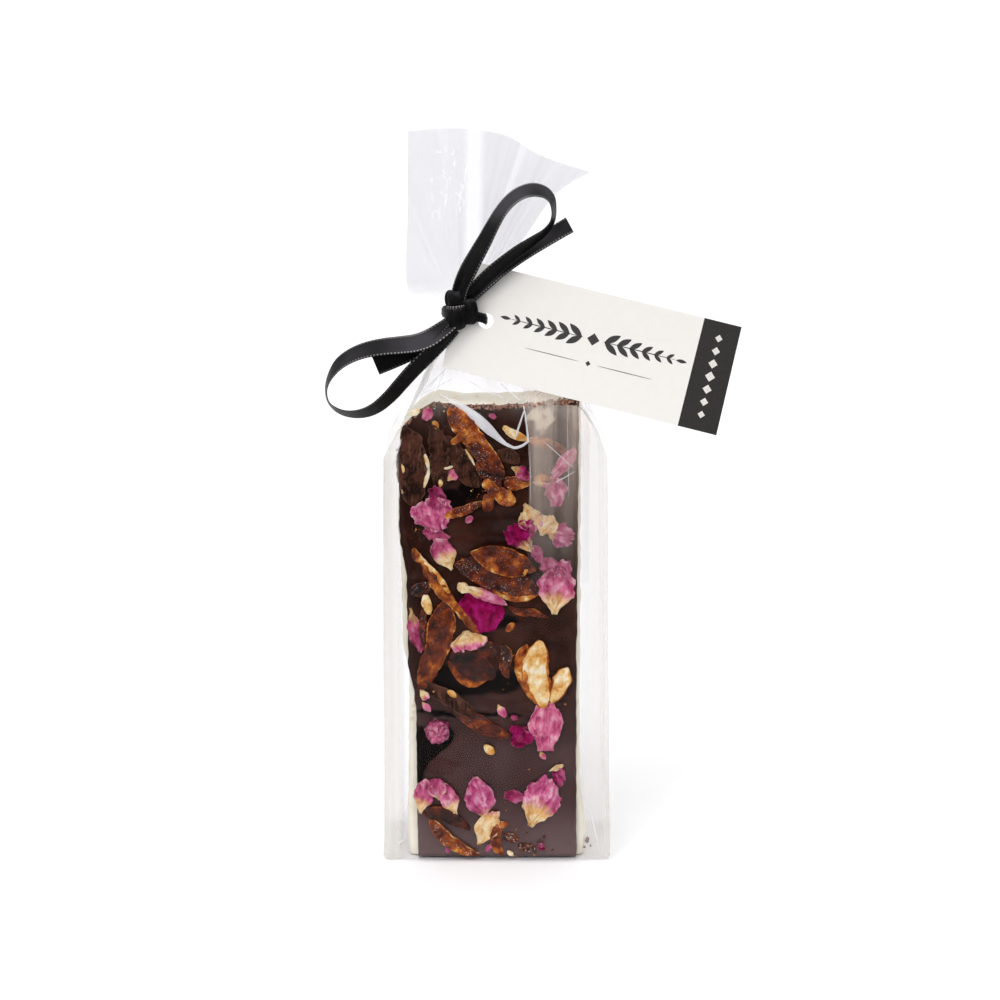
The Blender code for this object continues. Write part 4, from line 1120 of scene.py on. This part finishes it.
def painted_hollow_shade(x, z):
    """How much painted shade a place of the chocolate gets in its dark hollows, from 0 to 1."""
    x, z = x + 1.5 * rough(x, z, 4, 11), z + 0.8 * rough(x, z, 3, 12)
    away = min(((x - hx) / half_x) ** 2 + ((z - hz) / half_z) ** 2
               for hx, hz, half_x, half_z in PAINTED_HOLLOW_SHADES)
    table = [(edge_z, edge_x) for edge_x, edge_z in PAINTED_SHADE_EDGE]
    wedge = (between(table, z) + 1.3 - x) / 0.9 if table[0][0] < z < table[-1][0] else 0.0
    return max(smooth(2.2 * (1.1 - away)), smooth(wedge))


def chocolate_edges(z):
    """Where the chocolate ends on the left and on the right at height z."""
    left = between(CHOCOLATE_LEFT, z) + 0.35 * rough(z, 0, 3.5, 5)
    return left, between(CHOCOLATE_RIGHT, z) + 0.3 * rough(z, 9, 4, 6)


def top_of_bar(x):
    """The height of the bar's broken top at x."""
    return between(BAR_TOP, x) + 0.4 * rough(x, 0, 2.4, 7)


def chocolate_front(x, z):
    """How far forward the chocolate is at a place on the bar, rounded off at its edges."""
    left, right = chocolate_edges(z)
    to_edge = min(x - left, right - x, top_of_bar(x) - z, z - 0.2)
    rounding = 1.1 * (1 - smooth(to_edge / 1.6)) ** 2
    return CHOCOLATE_FRONT + wave(x, z) * smooth(to_edge / 3) - rounding


def on_bar(x, z, height):
    """A point above the chocolate face, and kept behind the film."""
    front = min(chocolate_front(x, z) + height, film_front(x, z) - FILM_ROOM)
    return Vector((x, -front, z))


def chocolate():
    """The poured chocolate, its waves and hollows on the front and a rough back against the slab."""
    def place(s, t):
        z = t * BAR_HEIGHT
        left, right = chocolate_edges(z)
        x = mix(left, right, s)
        z = 0.4 + t * (top_of_bar(x) - 0.4)
        return x, -chocolate_front(x, z), z

    # Painted shade in the hollows, a painted sheen of the floor's reflection that grows towards the foot, and
    # smears of cream.
    def paint(s, t):
        x, _, z = place(s, t)
        painted_sheen = (1 - smooth((z - 36) / 40)) * (0.75 + 0.6 * rough(x, z, 16, 13)) + 1.2 * (1 - smooth(z / 28))
        blur = 0.5 * rough(x, z, 2.2, 14)
        smear = max(1 - math.dist((x, z), (sx, sz)) / size + blur for sx, sz, size in CREAM_SMEARS)
        return painted_hollow_shade(x, z), painted_sheen, smooth(2.0 * smear), 1.0

    bm = sheet(120, 300, place, attribute="pour", paint=paint)
    for vert in extruded(bm):
        x, z = vert.co.x / MM, vert.co.z / MM
        vert.co.y = -(CHOCOLATE_BACK + 0.5 * rough(x, z, 5, 8)) * MM
    bmesh.ops.recalc_face_normals(bm, faces=bm.faces)
    finished("chocolate_layer", bm, chocolate_finish(), angle=60)


def nougat():
    """The slab behind the chocolate, with sawn and slightly bulging sides."""
    bm = bmesh.new()
    bmesh.ops.create_cube(bm, size=1.0)
    bmesh.ops.subdivide_edges(bm, edges=bm.edges, cuts=34, use_grid_fill=True)
    upright = [e for e in bm.edges if abs(e.verts[0].co.z - e.verts[1].co.z) > 0.01]
    bmesh.ops.subdivide_edges(bm, edges=upright, cuts=2, use_grid_fill=True)
    for vert in bm.verts:
        s, d, t = vert.co.x + 0.5, vert.co.y + 0.5, vert.co.z + 0.5
        z = t * BAR_HEIGHT
        x = mix(between(NOUGAT_LEFT, z), between(NOUGAT_RIGHT, z), s)
        z = 0.3 + t * (top_of_bar(x) - 0.6 + 0.8 * smooth(d * 2))
        y = -mix(CHOCOLATE_BACK + 0.2, NOUGAT_BACK, d)
        place = Vector((x, y, z))
        near_edge = [1 - smooth(min(at, 1 - at) / share) for at, share in ((s, 0.03), (d, 0.07), (t, 0.012))]
        rounding = max(0.0, sum(near_edge) - 1) * 0.7
        place += (Vector((-1.25, -6, z)) - place).normalized() * rounding
        bumps = 0.45 * Vector([noise.noise(p) for p in (place / 5, place / 5 + Vector((9, 0, 0)), place / 7)])
        grain = 0.16 * Vector([noise.noise(p) for p in (place / 1.7, place / 1.7 + Vector((5, 0, 0)), place)])
        vert.co = (place + bumps + grain) * MM
    bmesh.ops.recalc_face_normals(bm, faces=bm.faces)
    finished("nougat_slab", bm, nougat_finish(), angle=60)


def fruit_strip(route, thick, cup, tone_start, tone_end, skin, sugar, seed):
    """A piece of dried fruit along a route of x, z, width, lift and roll, with thick skin at its rims."""
    length = sum(math.dist(a[:2], b[:2]) for a, b in zip(route, route[1:]))

    def place(s, t):
        x, z, width, lift, roll = along(route, t)
        ahead = heading(route, t, 0.02, 2)
        side = Vector((-ahead.y, ahead.x))
        blunt = max(0.0, 1 - abs(2 * t - 1) ** 4) ** 0.5
        turn = 2 * math.pi * s
        c, d = math.cos(turn), math.sin(turn)
        run = t * length
        ragged = 0.26 * rough(run, c * 2.5, 2.6, seed) + 0.16 * rough(run, c * 2.5, 1.0, seed + 1)
        ragged = 1 + ragged * max(0.30, 1 - cup)
        a = math.copysign(abs(c) ** 0.85, c) * width / 2 * blunt * ragged
        b = math.copysign(abs(d) ** 0.75, d) * thick / 2 * (0.5 + 0.5 * blunt) * (1 if blunt else 0)
        b += cup * thick * (c * c - 0.35) * blunt
        furrow = ridged(Vector((a / 1.5, run / 6.0, seed)), 3.0) - 0.35
        b += thick * (0.22 * furrow + 0.30 * rough(a * 1.1, run * 0.6, 1.2, seed + 3)) * blunt
        b += thick * 0.34 * rough(a, run, 2.8, seed + 5) * blunt
        lean = math.radians(roll)
        out = b * math.cos(lean) + a * math.sin(lean)
        a = a * math.cos(lean) - b * math.sin(lean)
        slip = 0.5 * width * rough(c * 1.6, seed * 3.3, 1.0, seed) * blunt * (2 * t - 1) ** 2
        x, z = x + side.x * a + ahead.x * slip, z + side.y * a + ahead.y * slip
        return on_bar(x, z, lift + out)

    def paint(s, t):
        return mix(tone_start, tone_end, t), sugar, abs(math.cos(2 * math.pi * s)) ** 0.85, skin

    around = max(14, min(40, round(max(p[2] for p in route) * 4.2)))
    steps = max(12, min(80, round(length * 2.4)))
    return welded(sheet(around, steps, place, attribute="flesh", paint=paint))


def fruit():
    """Coated strips, fig and date pieces, and slivers of nougat and nut, each kind as one piece."""
    coated, figs, slivers = bmesh.new(), bmesh.new(), bmesh.new()
    for total in (coated, figs, slivers):
        total.verts.layers.float_color.new("flesh")
    for seed, piece in enumerate(FRUIT):
        add_to(coated if max(piece[3:6]) <= COATED_TONE else figs, fruit_strip(*piece, seed))
    for k, (x1, z1, x2, z2, width) in enumerate(SLIVERS):
        middle = ((x1 + x2) / 2 + 0.2, (z1 + z2) / 2)
        route = [(x1, z1, width * 0.5, 1.0, 0), (*middle, width, 1.3, 0), (x2, z2, width * 0.5, 1.0, 0)]
        tone = 0.90 if k in (6, 7, 8, 10) else 1.0
        add_to(slivers, fruit_strip(route, 0.8, 0.0, tone, tone, tone, 0.1, 90 + k))
    finish = fruit_finish()
    finished("coated_strips", coated, coated_finish())
    finished("dried_fig", figs, finish)
    finished("nougat_slivers", slivers, finish)


def petal(base, tip, width, cream, magenta, lilac, lift, cup, crinkle, seed):
    """A dry rose petal on the chocolate, from its narrow base to its wide, torn and curled rim."""
    base, tip = Vector(base), Vector(tip)
    ahead = tip - base
    length = ahead.length
    ahead.normalize()
    side = Vector((-ahead.y, ahead.x))
    torn = 0.5 + 0.5 * crinkle
    claw = 0.16 if cream else 0.52

    def spread(s, t):
        """Where s and t are on the flat petal, and how far up the folds are there."""
        u = 2 * s - 1
        t = t ** 0.85
        wide = mix(claw, 1.0, smooth(t / 0.55)) * (1 - 0.26 * max(0.0, (t - 0.70) / 0.30) ** 2.4)
        frill = 0.26 * rough(t * length, u * 3, 4.2, seed) + 0.17 * rough(t * length, u * 3, 1.2, seed + 1)
        wide *= 1 + torn * frill
        a = u * width / 2 * wide
        rim = 0.19 * (1 - u * u) - 0.09
        rim += torn * (0.13 * rough(u * 3, seed, 1.3, seed) + 0.08 * rough(u * 3, seed, 0.42, seed + 1))
        b = t * length * (0.93 + rim)
        fan = rough(u * width * 0.42, b * 0.30, 1.0, seed + 2)
        folds = 0.9 * fan + 0.8 * rough(a, b, 2.6, seed + 3) + 0.55 * rough(a, b, 1.0, seed + 5)
        return u, t, a, b, folds

    def place(s, t):
        u, t, a, b, folds = spread(s, t)
        out = cup * (0.55 * u * u * smooth(t * 2) + 0.35 * (2 * t - 1) ** 2)
        edge = smooth(abs(u) * 1.1) * 0.6 + smooth((t - 0.6) * 2.5) * 0.6
        out += crinkle * (1.0 + 1.2 * edge) * folds
        a += crinkle * 0.7 * rough(a, b, 1.8, seed + 4)
        b += crinkle * 0.7 * rough(a, b, 1.9, seed + 6)
        spot = base + ahead * b + side * a
        return on_bar(spot.x, spot.y, max(0.12 + 0.1 * t, lift + out))

    across = max(10, min(34, round(width / 0.38)))
    upward = max(10, min(36, round(length / 0.38)))
    # The fourth channel is the folds' height, which the finish turns into painted highlight and shade.
    bm = sheet(across, upward, place, uv_name="petal_uv", attribute="petal",
               paint=lambda s, t: (cream, magenta, lilac, 0.5 + 0.55 * spread(s, t)[4]))
    return thicken(bm, PETAL_WALL)


def petals():
    """Single petals, and buds of petals that wind outwards, as one piece."""
    dice = random.Random(11)
    total = bmesh.new()
    total.loops.layers.uv.new("petal_uv")
    total.verts.layers.float_color.new("petal")
    for seed, (x1, z1, x2, z2, *rest) in enumerate(PETALS):
        add_to(total, petal((x1, z1), (x2, z2), *rest, seed + 1))
    for x, z, radius, count, magenta, lilac in BUDS:
        for k in range(count):
            turn = 2.4 * k
            out = radius * (0.05 + 0.75 * (k / count) ** 0.7)
            back = out * 0.5 - radius * 0.30
            base = (x + math.cos(turn) * back, z + math.sin(turn) * back)
            tip = (base[0] + math.cos(turn + 0.9) * radius * 0.8,
                   base[1] + math.sin(turn + 0.9) * radius * 0.8)
            shade = magenta + dice.uniform(-0.2, 0.25)
            lift = 1.6 * (1 - k / count) + 0.4
            add_to(total, petal(base, tip, radius * 1.15, 0.0, shade, lilac, lift, 1.2, 0.9, 60 + k))
    finished("rose_petals", total, petal_finish())


def crumb(dice, x, y, z, size):
    """A small broken crumb."""
    bm = bmesh.new()
    bmesh.ops.create_icosphere(bm, subdivisions=1, radius=1.0)
    shape = [size * dice.uniform(0.6, 1.2) for _ in range(3)]
    for vert in bm.verts:
        vert.co = Vector([vert.co[k] * shape[k] * dice.uniform(0.75, 1.2) for k in range(3)])
    bmesh.ops.translate(bm, vec=Vector((x, y, z)), verts=bm.verts)
    bmesh.ops.scale(bm, vec=(MM, MM, MM), verts=bm.verts)
    return bm


def toned(lump, tone):
    """Gives a crumb its fruit tone and its sugar."""
    layer = lump.verts.layers.float_color.new("flesh")
    for vert in lump.verts:
        vert[layer] = (tone, 0.8, 0.0, tone)
    return lump


def crumbs():
    """Chocolate crumbs along the bar's broken top edge, and fruit and sugar crumbs on its face."""
    dice = random.Random(5)
    edge = bmesh.new()
    for _ in range(EDGE_CRUMBS):
        x = dice.uniform(-13, 27.4) if dice.random() < 0.8 else dice.uniform(-31, -13)
        z = top_of_bar(x) + dice.uniform(-1.0, 0.3) - (0.8 if x > 17 else 0.0) * dice.random()
        thick = dice.uniform(0, 1) ** 1.3 * mix(2.4, 6.0, smooth((x - 10) / 12))
        y = -(CHOCOLATE_FRONT + 0.3 - thick)
        add_to(edge, crumb(dice, x, y, z, dice.uniform(0.22, 0.62)))
    finished("chocolate_crumbs", edge, crumb_finish())
    bits = bmesh.new()
    bits.verts.layers.float_color.new("flesh")
    for gx, gz, spread, count, tone in CRUMB_GROUPS:
        for _ in range(count):
            x, z = dice.gauss(gx, spread / 2.6), dice.gauss(gz, spread / 2.6)
            if not (-30 < x < 26.5 and 1 < z < 157):
                continue
            size = dice.uniform(0.16, 0.5) if spread < 12 else dice.uniform(0.12, 0.28)
            place = on_bar(x, z, size * 0.5 + dice.uniform(0, 1.2 if spread < 12 else 0.0))
            lump = crumb(dice, *place, size)
            own = min(1.0, max(0.0, tone + dice.uniform(-0.25, 0.3)))
            add_to(bits, toned(lump, own))
    for x, y, z, size in CORNER_CRUMBS:
        lump = crumb(dice, x, y, z, size)
        bmesh.ops.subdivide_edges(lump, edges=lump.edges, cuts=1, use_grid_fill=True)
        add_to(bits, toned(lump, 0.45))
    finished("fruit_crumbs", bits, bpy.data.materials["dried_fig"])


def ribbon_strip(route, free_end=False, pleat=0.35, seed=0):
    """A flat ribbon along route, its width turned out of the picture plane by each point's angle."""
    length = sum(math.dist(a[:3], b[:3]) for a, b in zip(route, route[1:]))

    def place(s, t):
        x, y, z, turn = along(route, t)
        ahead = heading(route, t, 0.01, 3)
        flat = Vector((-ahead.z, 0, ahead.x)).normalized()
        width = flat * math.cos(math.radians(turn)) + Vector((0, 1, 0)) * math.sin(math.radians(turn))
        width = (width - ahead * width.dot(ahead)).normalized()
        thick = ahead.cross(width)
        to_knot = t if free_end else min(t, 1 - t)
        near = smooth(to_knot * length / SQUEEZE_RUN)
        half = RIBBON_WIDTH / 2 * mix(SQUEEZE_AT_KNOT, 1.0, near)
        a = 4 * s - 1 if s < 0.5 else 3 - 4 * s
        b = RIBBON_THICKNESS / 2 * (1 - abs(a) ** 16) * (1 if s < 0.5 else -1)
        b += pleat * (1 - near) * math.cos(a * 6.2 + seed) + 0.10 * rough(t * length, a * 2, 9, seed)
        return Vector((x, y, z)) + width * half * a + thick * b

    def uv_place(s, t):
        a = 4 * s - 1 if s < 0.5 else 3 - 4 * s
        return (a + 1) / 2, t * length

    rows = max(12, round(length / 0.55))
    return capped(welded(sheet(44, rows, place, uv_name="ribbon", uv_place=uv_place)))


def tie_band():
    """The ribbon round the neck and through the tag's hole, gathered to a cord."""
    def place(s, t):
        centre = Vector(along(TIE, t % 1.0, closed=True))
        ahead = Vector(along(TIE, (t + 0.01) % 1.0, closed=True)) - centre
        side = Vector((ahead.y, -ahead.x, 0)).normalized()
        turn = 2 * math.pi * s
        pleats = 1 + 0.10 * math.cos(7 * turn + 4 * math.sin(2 * math.pi * t))
        return (centre + side * math.cos(turn) * TIE_THICKNESS / 2 * pleats
                + Vector((0, 0, TIE_HEIGHT / 2)) * math.sin(turn) * (0.94 + 0.06 * pleats))

    return welded(sheet(28, 120, place, uv_name="ribbon", uv_place=lambda s, t: (0.25 + 0.5 * s, t * 60)))


def knot_lump(centre, half, pleats, seed):
    """A rounded lump of the knot, where the ribbon is wound over itself in pleats."""
    def place(s, t):
        turn, rise = 2 * math.pi * s, math.pi * (t - 0.5)
        ring = math.cos(rise) ** 0.40
        fold = 1 + 0.10 * math.cos(pleats * 2 * turn + seed + 0.9 * math.sin(rise * 2)) * ring
        fold += 0.03 * noise.noise(Vector((math.cos(turn) * 2, math.sin(turn) * 2, rise * 2 + seed)))
        return (centre[0] + half[0] * ring * math.cos(turn) * fold,
                centre[1] + half[1] * ring * math.sin(turn) * fold,
                centre[2] + half[2] * math.sin(rise) + 0.5 * math.cos(2 * turn + seed) * ring)

    return welded(sheet(64, 40, place, uv_name="ribbon", uv_place=lambda s, t: (0.2 + 0.6 * s, t * 9)))


def wound_line(centre, half_x, half_y, height, seed):
    """A turn of ribbon edge round the knot."""
    def place(s, t):
        turn, around = 2 * math.pi * s, 2 * math.pi * t
        grow = 0.28 * math.cos(turn)
        return (centre[0] + (half_x + grow) * math.cos(around),
                centre[1] + (half_y + grow) * math.sin(around),
                centre[2] + height * math.sin(turn) + 0.25 * math.sin(around + seed))

    return welded(sheet(12, 64, place, uv_name="ribbon", uv_place=lambda s, t: (0.93, t * 20)))


def bow():
    """The satin bow: two loops, two cut tails, the tie round the neck, and the knot."""
    total = bmesh.new()
    total.loops.layers.uv.new("ribbon")
    add_to(total, ribbon_strip(LEFT_LOOP, seed=1))
    add_to(total, ribbon_strip(RIGHT_LOOP, seed=2))
    add_to(total, ribbon_strip(LEFT_TAIL, free_end=True, pleat=0.2, seed=3))
    add_to(total, ribbon_strip(RIGHT_TAIL, free_end=True, pleat=0.2, seed=4))
    add_to(total, tie_band())
    for seed, (centre, half, pleats) in enumerate(KNOT_LUMPS):
        add_to(total, knot_lump(centre, half, pleats, seed))
    add_to(total, wound_line((-13.7, -16.0, 191.2), 2.9, 2.5, 0.55, 1.0))
    finished("satin_bow", total, satin_finish(), angle=50, replaces="ribbon")


def tag_print():
    """A plain sprig of leaves with a rule under it, and a row of lozenges on the band, printed on the tag."""
    lifted = TAG_THICKNESS / 2 + INK_LIFT
    dark, pale = bmesh.new(), bmesh.new()

    def leaf(into, reach, rise, half_length, half_width, turn, sides=20, pointed=0.6):
        """Adds a flat shape of print: a leaf, a line, or a lozenge where it has 4 sides."""
        bm = bmesh.new()
        bmesh.ops.create_circle(bm, cap_ends=True, segments=sides, radius=1.0)
        for vert in bm.verts:
            a, b = vert.co.x * half_length, vert.co.y * half_width * (1 - vert.co.x ** 2 * pointed)
            u = a * math.cos(turn) - b * math.sin(turn)
            v = a * math.sin(turn) + b * math.cos(turn)
            vert.co = tag_point(reach + u, rise + v, lifted) * MM
        bmesh.ops.recalc_face_normals(bm, faces=bm.faces)
        if list(bm.faces)[0].normal.y > 0:
            bmesh.ops.reverse_faces(bm, faces=bm.faces)
        add_to(into, bm)

    middle, rise = 36.5, 2.6
    leaf(dark, middle, rise, 2.1, 2.1, 0.0, sides=4, pointed=0.0)
    for side in (-1, 1):
        for k in range(6):
            out = middle + side * (5.4 + 4.0 * k)
            size = 3.0 - 0.30 * k
            for up in (-1, 1):
                leaf(dark, out + side * 0.9, rise + up * size * 0.52, size, size * 0.36, side * up * 0.62)
        leaf(dark, middle + side * 30.2, rise, 1.8, 0.6, 0.0)
        leaf(dark, middle + side * 16.0, rise, 12.8, 0.16, 0.0, pointed=0.2)
        leaf(dark, middle + side * 12.5, rise - 8.2, 9.5, 0.11, 0.0, pointed=0.0)
    leaf(dark, middle, rise - 8.2, 0.9, 0.9, 0.0, sides=4, pointed=0.0)
    on_band = TAG_LENGTH - TAG_HOLE_INSET - TAG_BAND / 2
    for k in range(-3, 4):
        leaf(pale, on_band, 4.3 * k, 1.7 - 0.15 * abs(k), 1.7 - 0.15 * abs(k), 0.0, sides=4, pointed=0.0)
    ink = plain_finish("tag_ink", (0.022, 0.019, 0.017), 0.55, 1.5, 0.03)
    ivory = plain_finish("tag_band_ivory", (0.78, 0.75, 0.70), 0.6, 1.5, 0.03)
    for name, bm, material in (("tag_sprig", dark, ink), ("tag_lozenges", pale, ivory)):
        finished(name, thicken(bm, INK_WALL), material, angle=30)


def stage_floor(name, near, far, mirrored):
    """Lays white floor from y near to y far, in metres. If mirrored, it lights the bag and shows in it."""
    bm = bmesh.new()
    bmesh.ops.create_grid(bm, x_segments=2, y_segments=2, size=0.5)
    bmesh.ops.scale(bm, vec=(FLOOR_WIDTH, far - near, 1), verts=bm.verts)
    bmesh.ops.translate(bm, vec=(0, (near + far) / 2, -FLOOR_DROP), verts=bm.verts)
    mesh = bpy.data.meshes.new(name)
    bm.to_mesh(mesh)
    bm.free()
    f = new_finish(name)
    grain = f.noise(f.place(), 0.02, 2.0)
    white = f.colours(grain, (0.97, 0.97, 0.97), (0.96, 0.96, 0.965))
    mesh.materials.append(f.done(f.surface(colour=white, roughness=0.8, specular=0.1)))
    floor = bpy.data.objects.new(name, mesh)
    floor.visible_glossy = floor.visible_diffuse = mirrored
    bpy.context.scene.collection.objects.link(floor)


def studio():
    """White floor, soft daylight from above and the left, and the camera at the photograph's angle."""
    stage_floor("studio_floor", -FLOOR_FRONT, FLOOR_WIDTH / 2, True)
    stage_floor("studio_floor_front", -FLOOR_WIDTH / 2, -FLOOR_FRONT, False)

    world = bpy.data.worlds.new("studio")
    bpy.context.scene.world = world
    w = Finish(world)
    _, _, height = w.split(w.node("TexCoord"))
    stops = [(0.0, (0.02, 0.02, 0.02)), (0.48, (0.03, 0.03, 0.03)), (0.50, (0.48, 0.48, 0.49)),
             (0.53, (0.60, 0.60, 0.61)), (0.62, (0.84, 0.84, 0.85)), (1.0, (0.98, 0.98, 0.99))]
    glow = w.node("ValToRGB", {"stops": stops}, {0: height * 0.5 + 0.5})
    w.done(w.node("Background", {}, {"Color": glow, "Strength": 1.0}), "World")

    for name, energy, angle, source in (
        ("window_light", 1.05, 70, (-0.24, -0.72, 0.65)),
        ("glint_light", 0.32, 7, (-0.22, -0.50, 0.84)),
    ):
        sun = bpy.data.lights.new(name, "SUN")
        sun.energy, sun.angle = energy, math.radians(angle)
        lamp = bpy.data.objects.new(name, sun)
        lamp.rotation_euler = Vector(source).to_track_quat("Z", "Y").to_euler()
        bpy.context.scene.collection.objects.link(lamp)

    camera = bpy.data.cameras.new("camera")
    camera.lens, camera.sensor_width = 105.0, 36.0
    holder = bpy.data.objects.new("camera", camera)
    holder.location = CAMERA_TARGET + Vector((0, -math.cos(CAMERA_RISE), math.sin(CAMERA_RISE)))
    holder.rotation_euler = (holder.location - CAMERA_TARGET).to_track_quat("Z", "Y").to_euler()
    bpy.context.scene.collection.objects.link(holder)
    bpy.context.scene.camera = holder
    bpy.context.scene.view_settings.view_transform = "Standard"
    bpy.context.scene.cycles.transparent_max_bounces = 32


def main():
    studio()
    nougat()
    chocolate()
    fruit()
    petals()
    crumbs()
    film_bag()
    film_fold()
    film_flap()
    film_creases()
    bow()
    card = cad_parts["tag"]
    card.data.materials.clear()
    card.data.materials.append(card_finish())
    tag_print()


main()
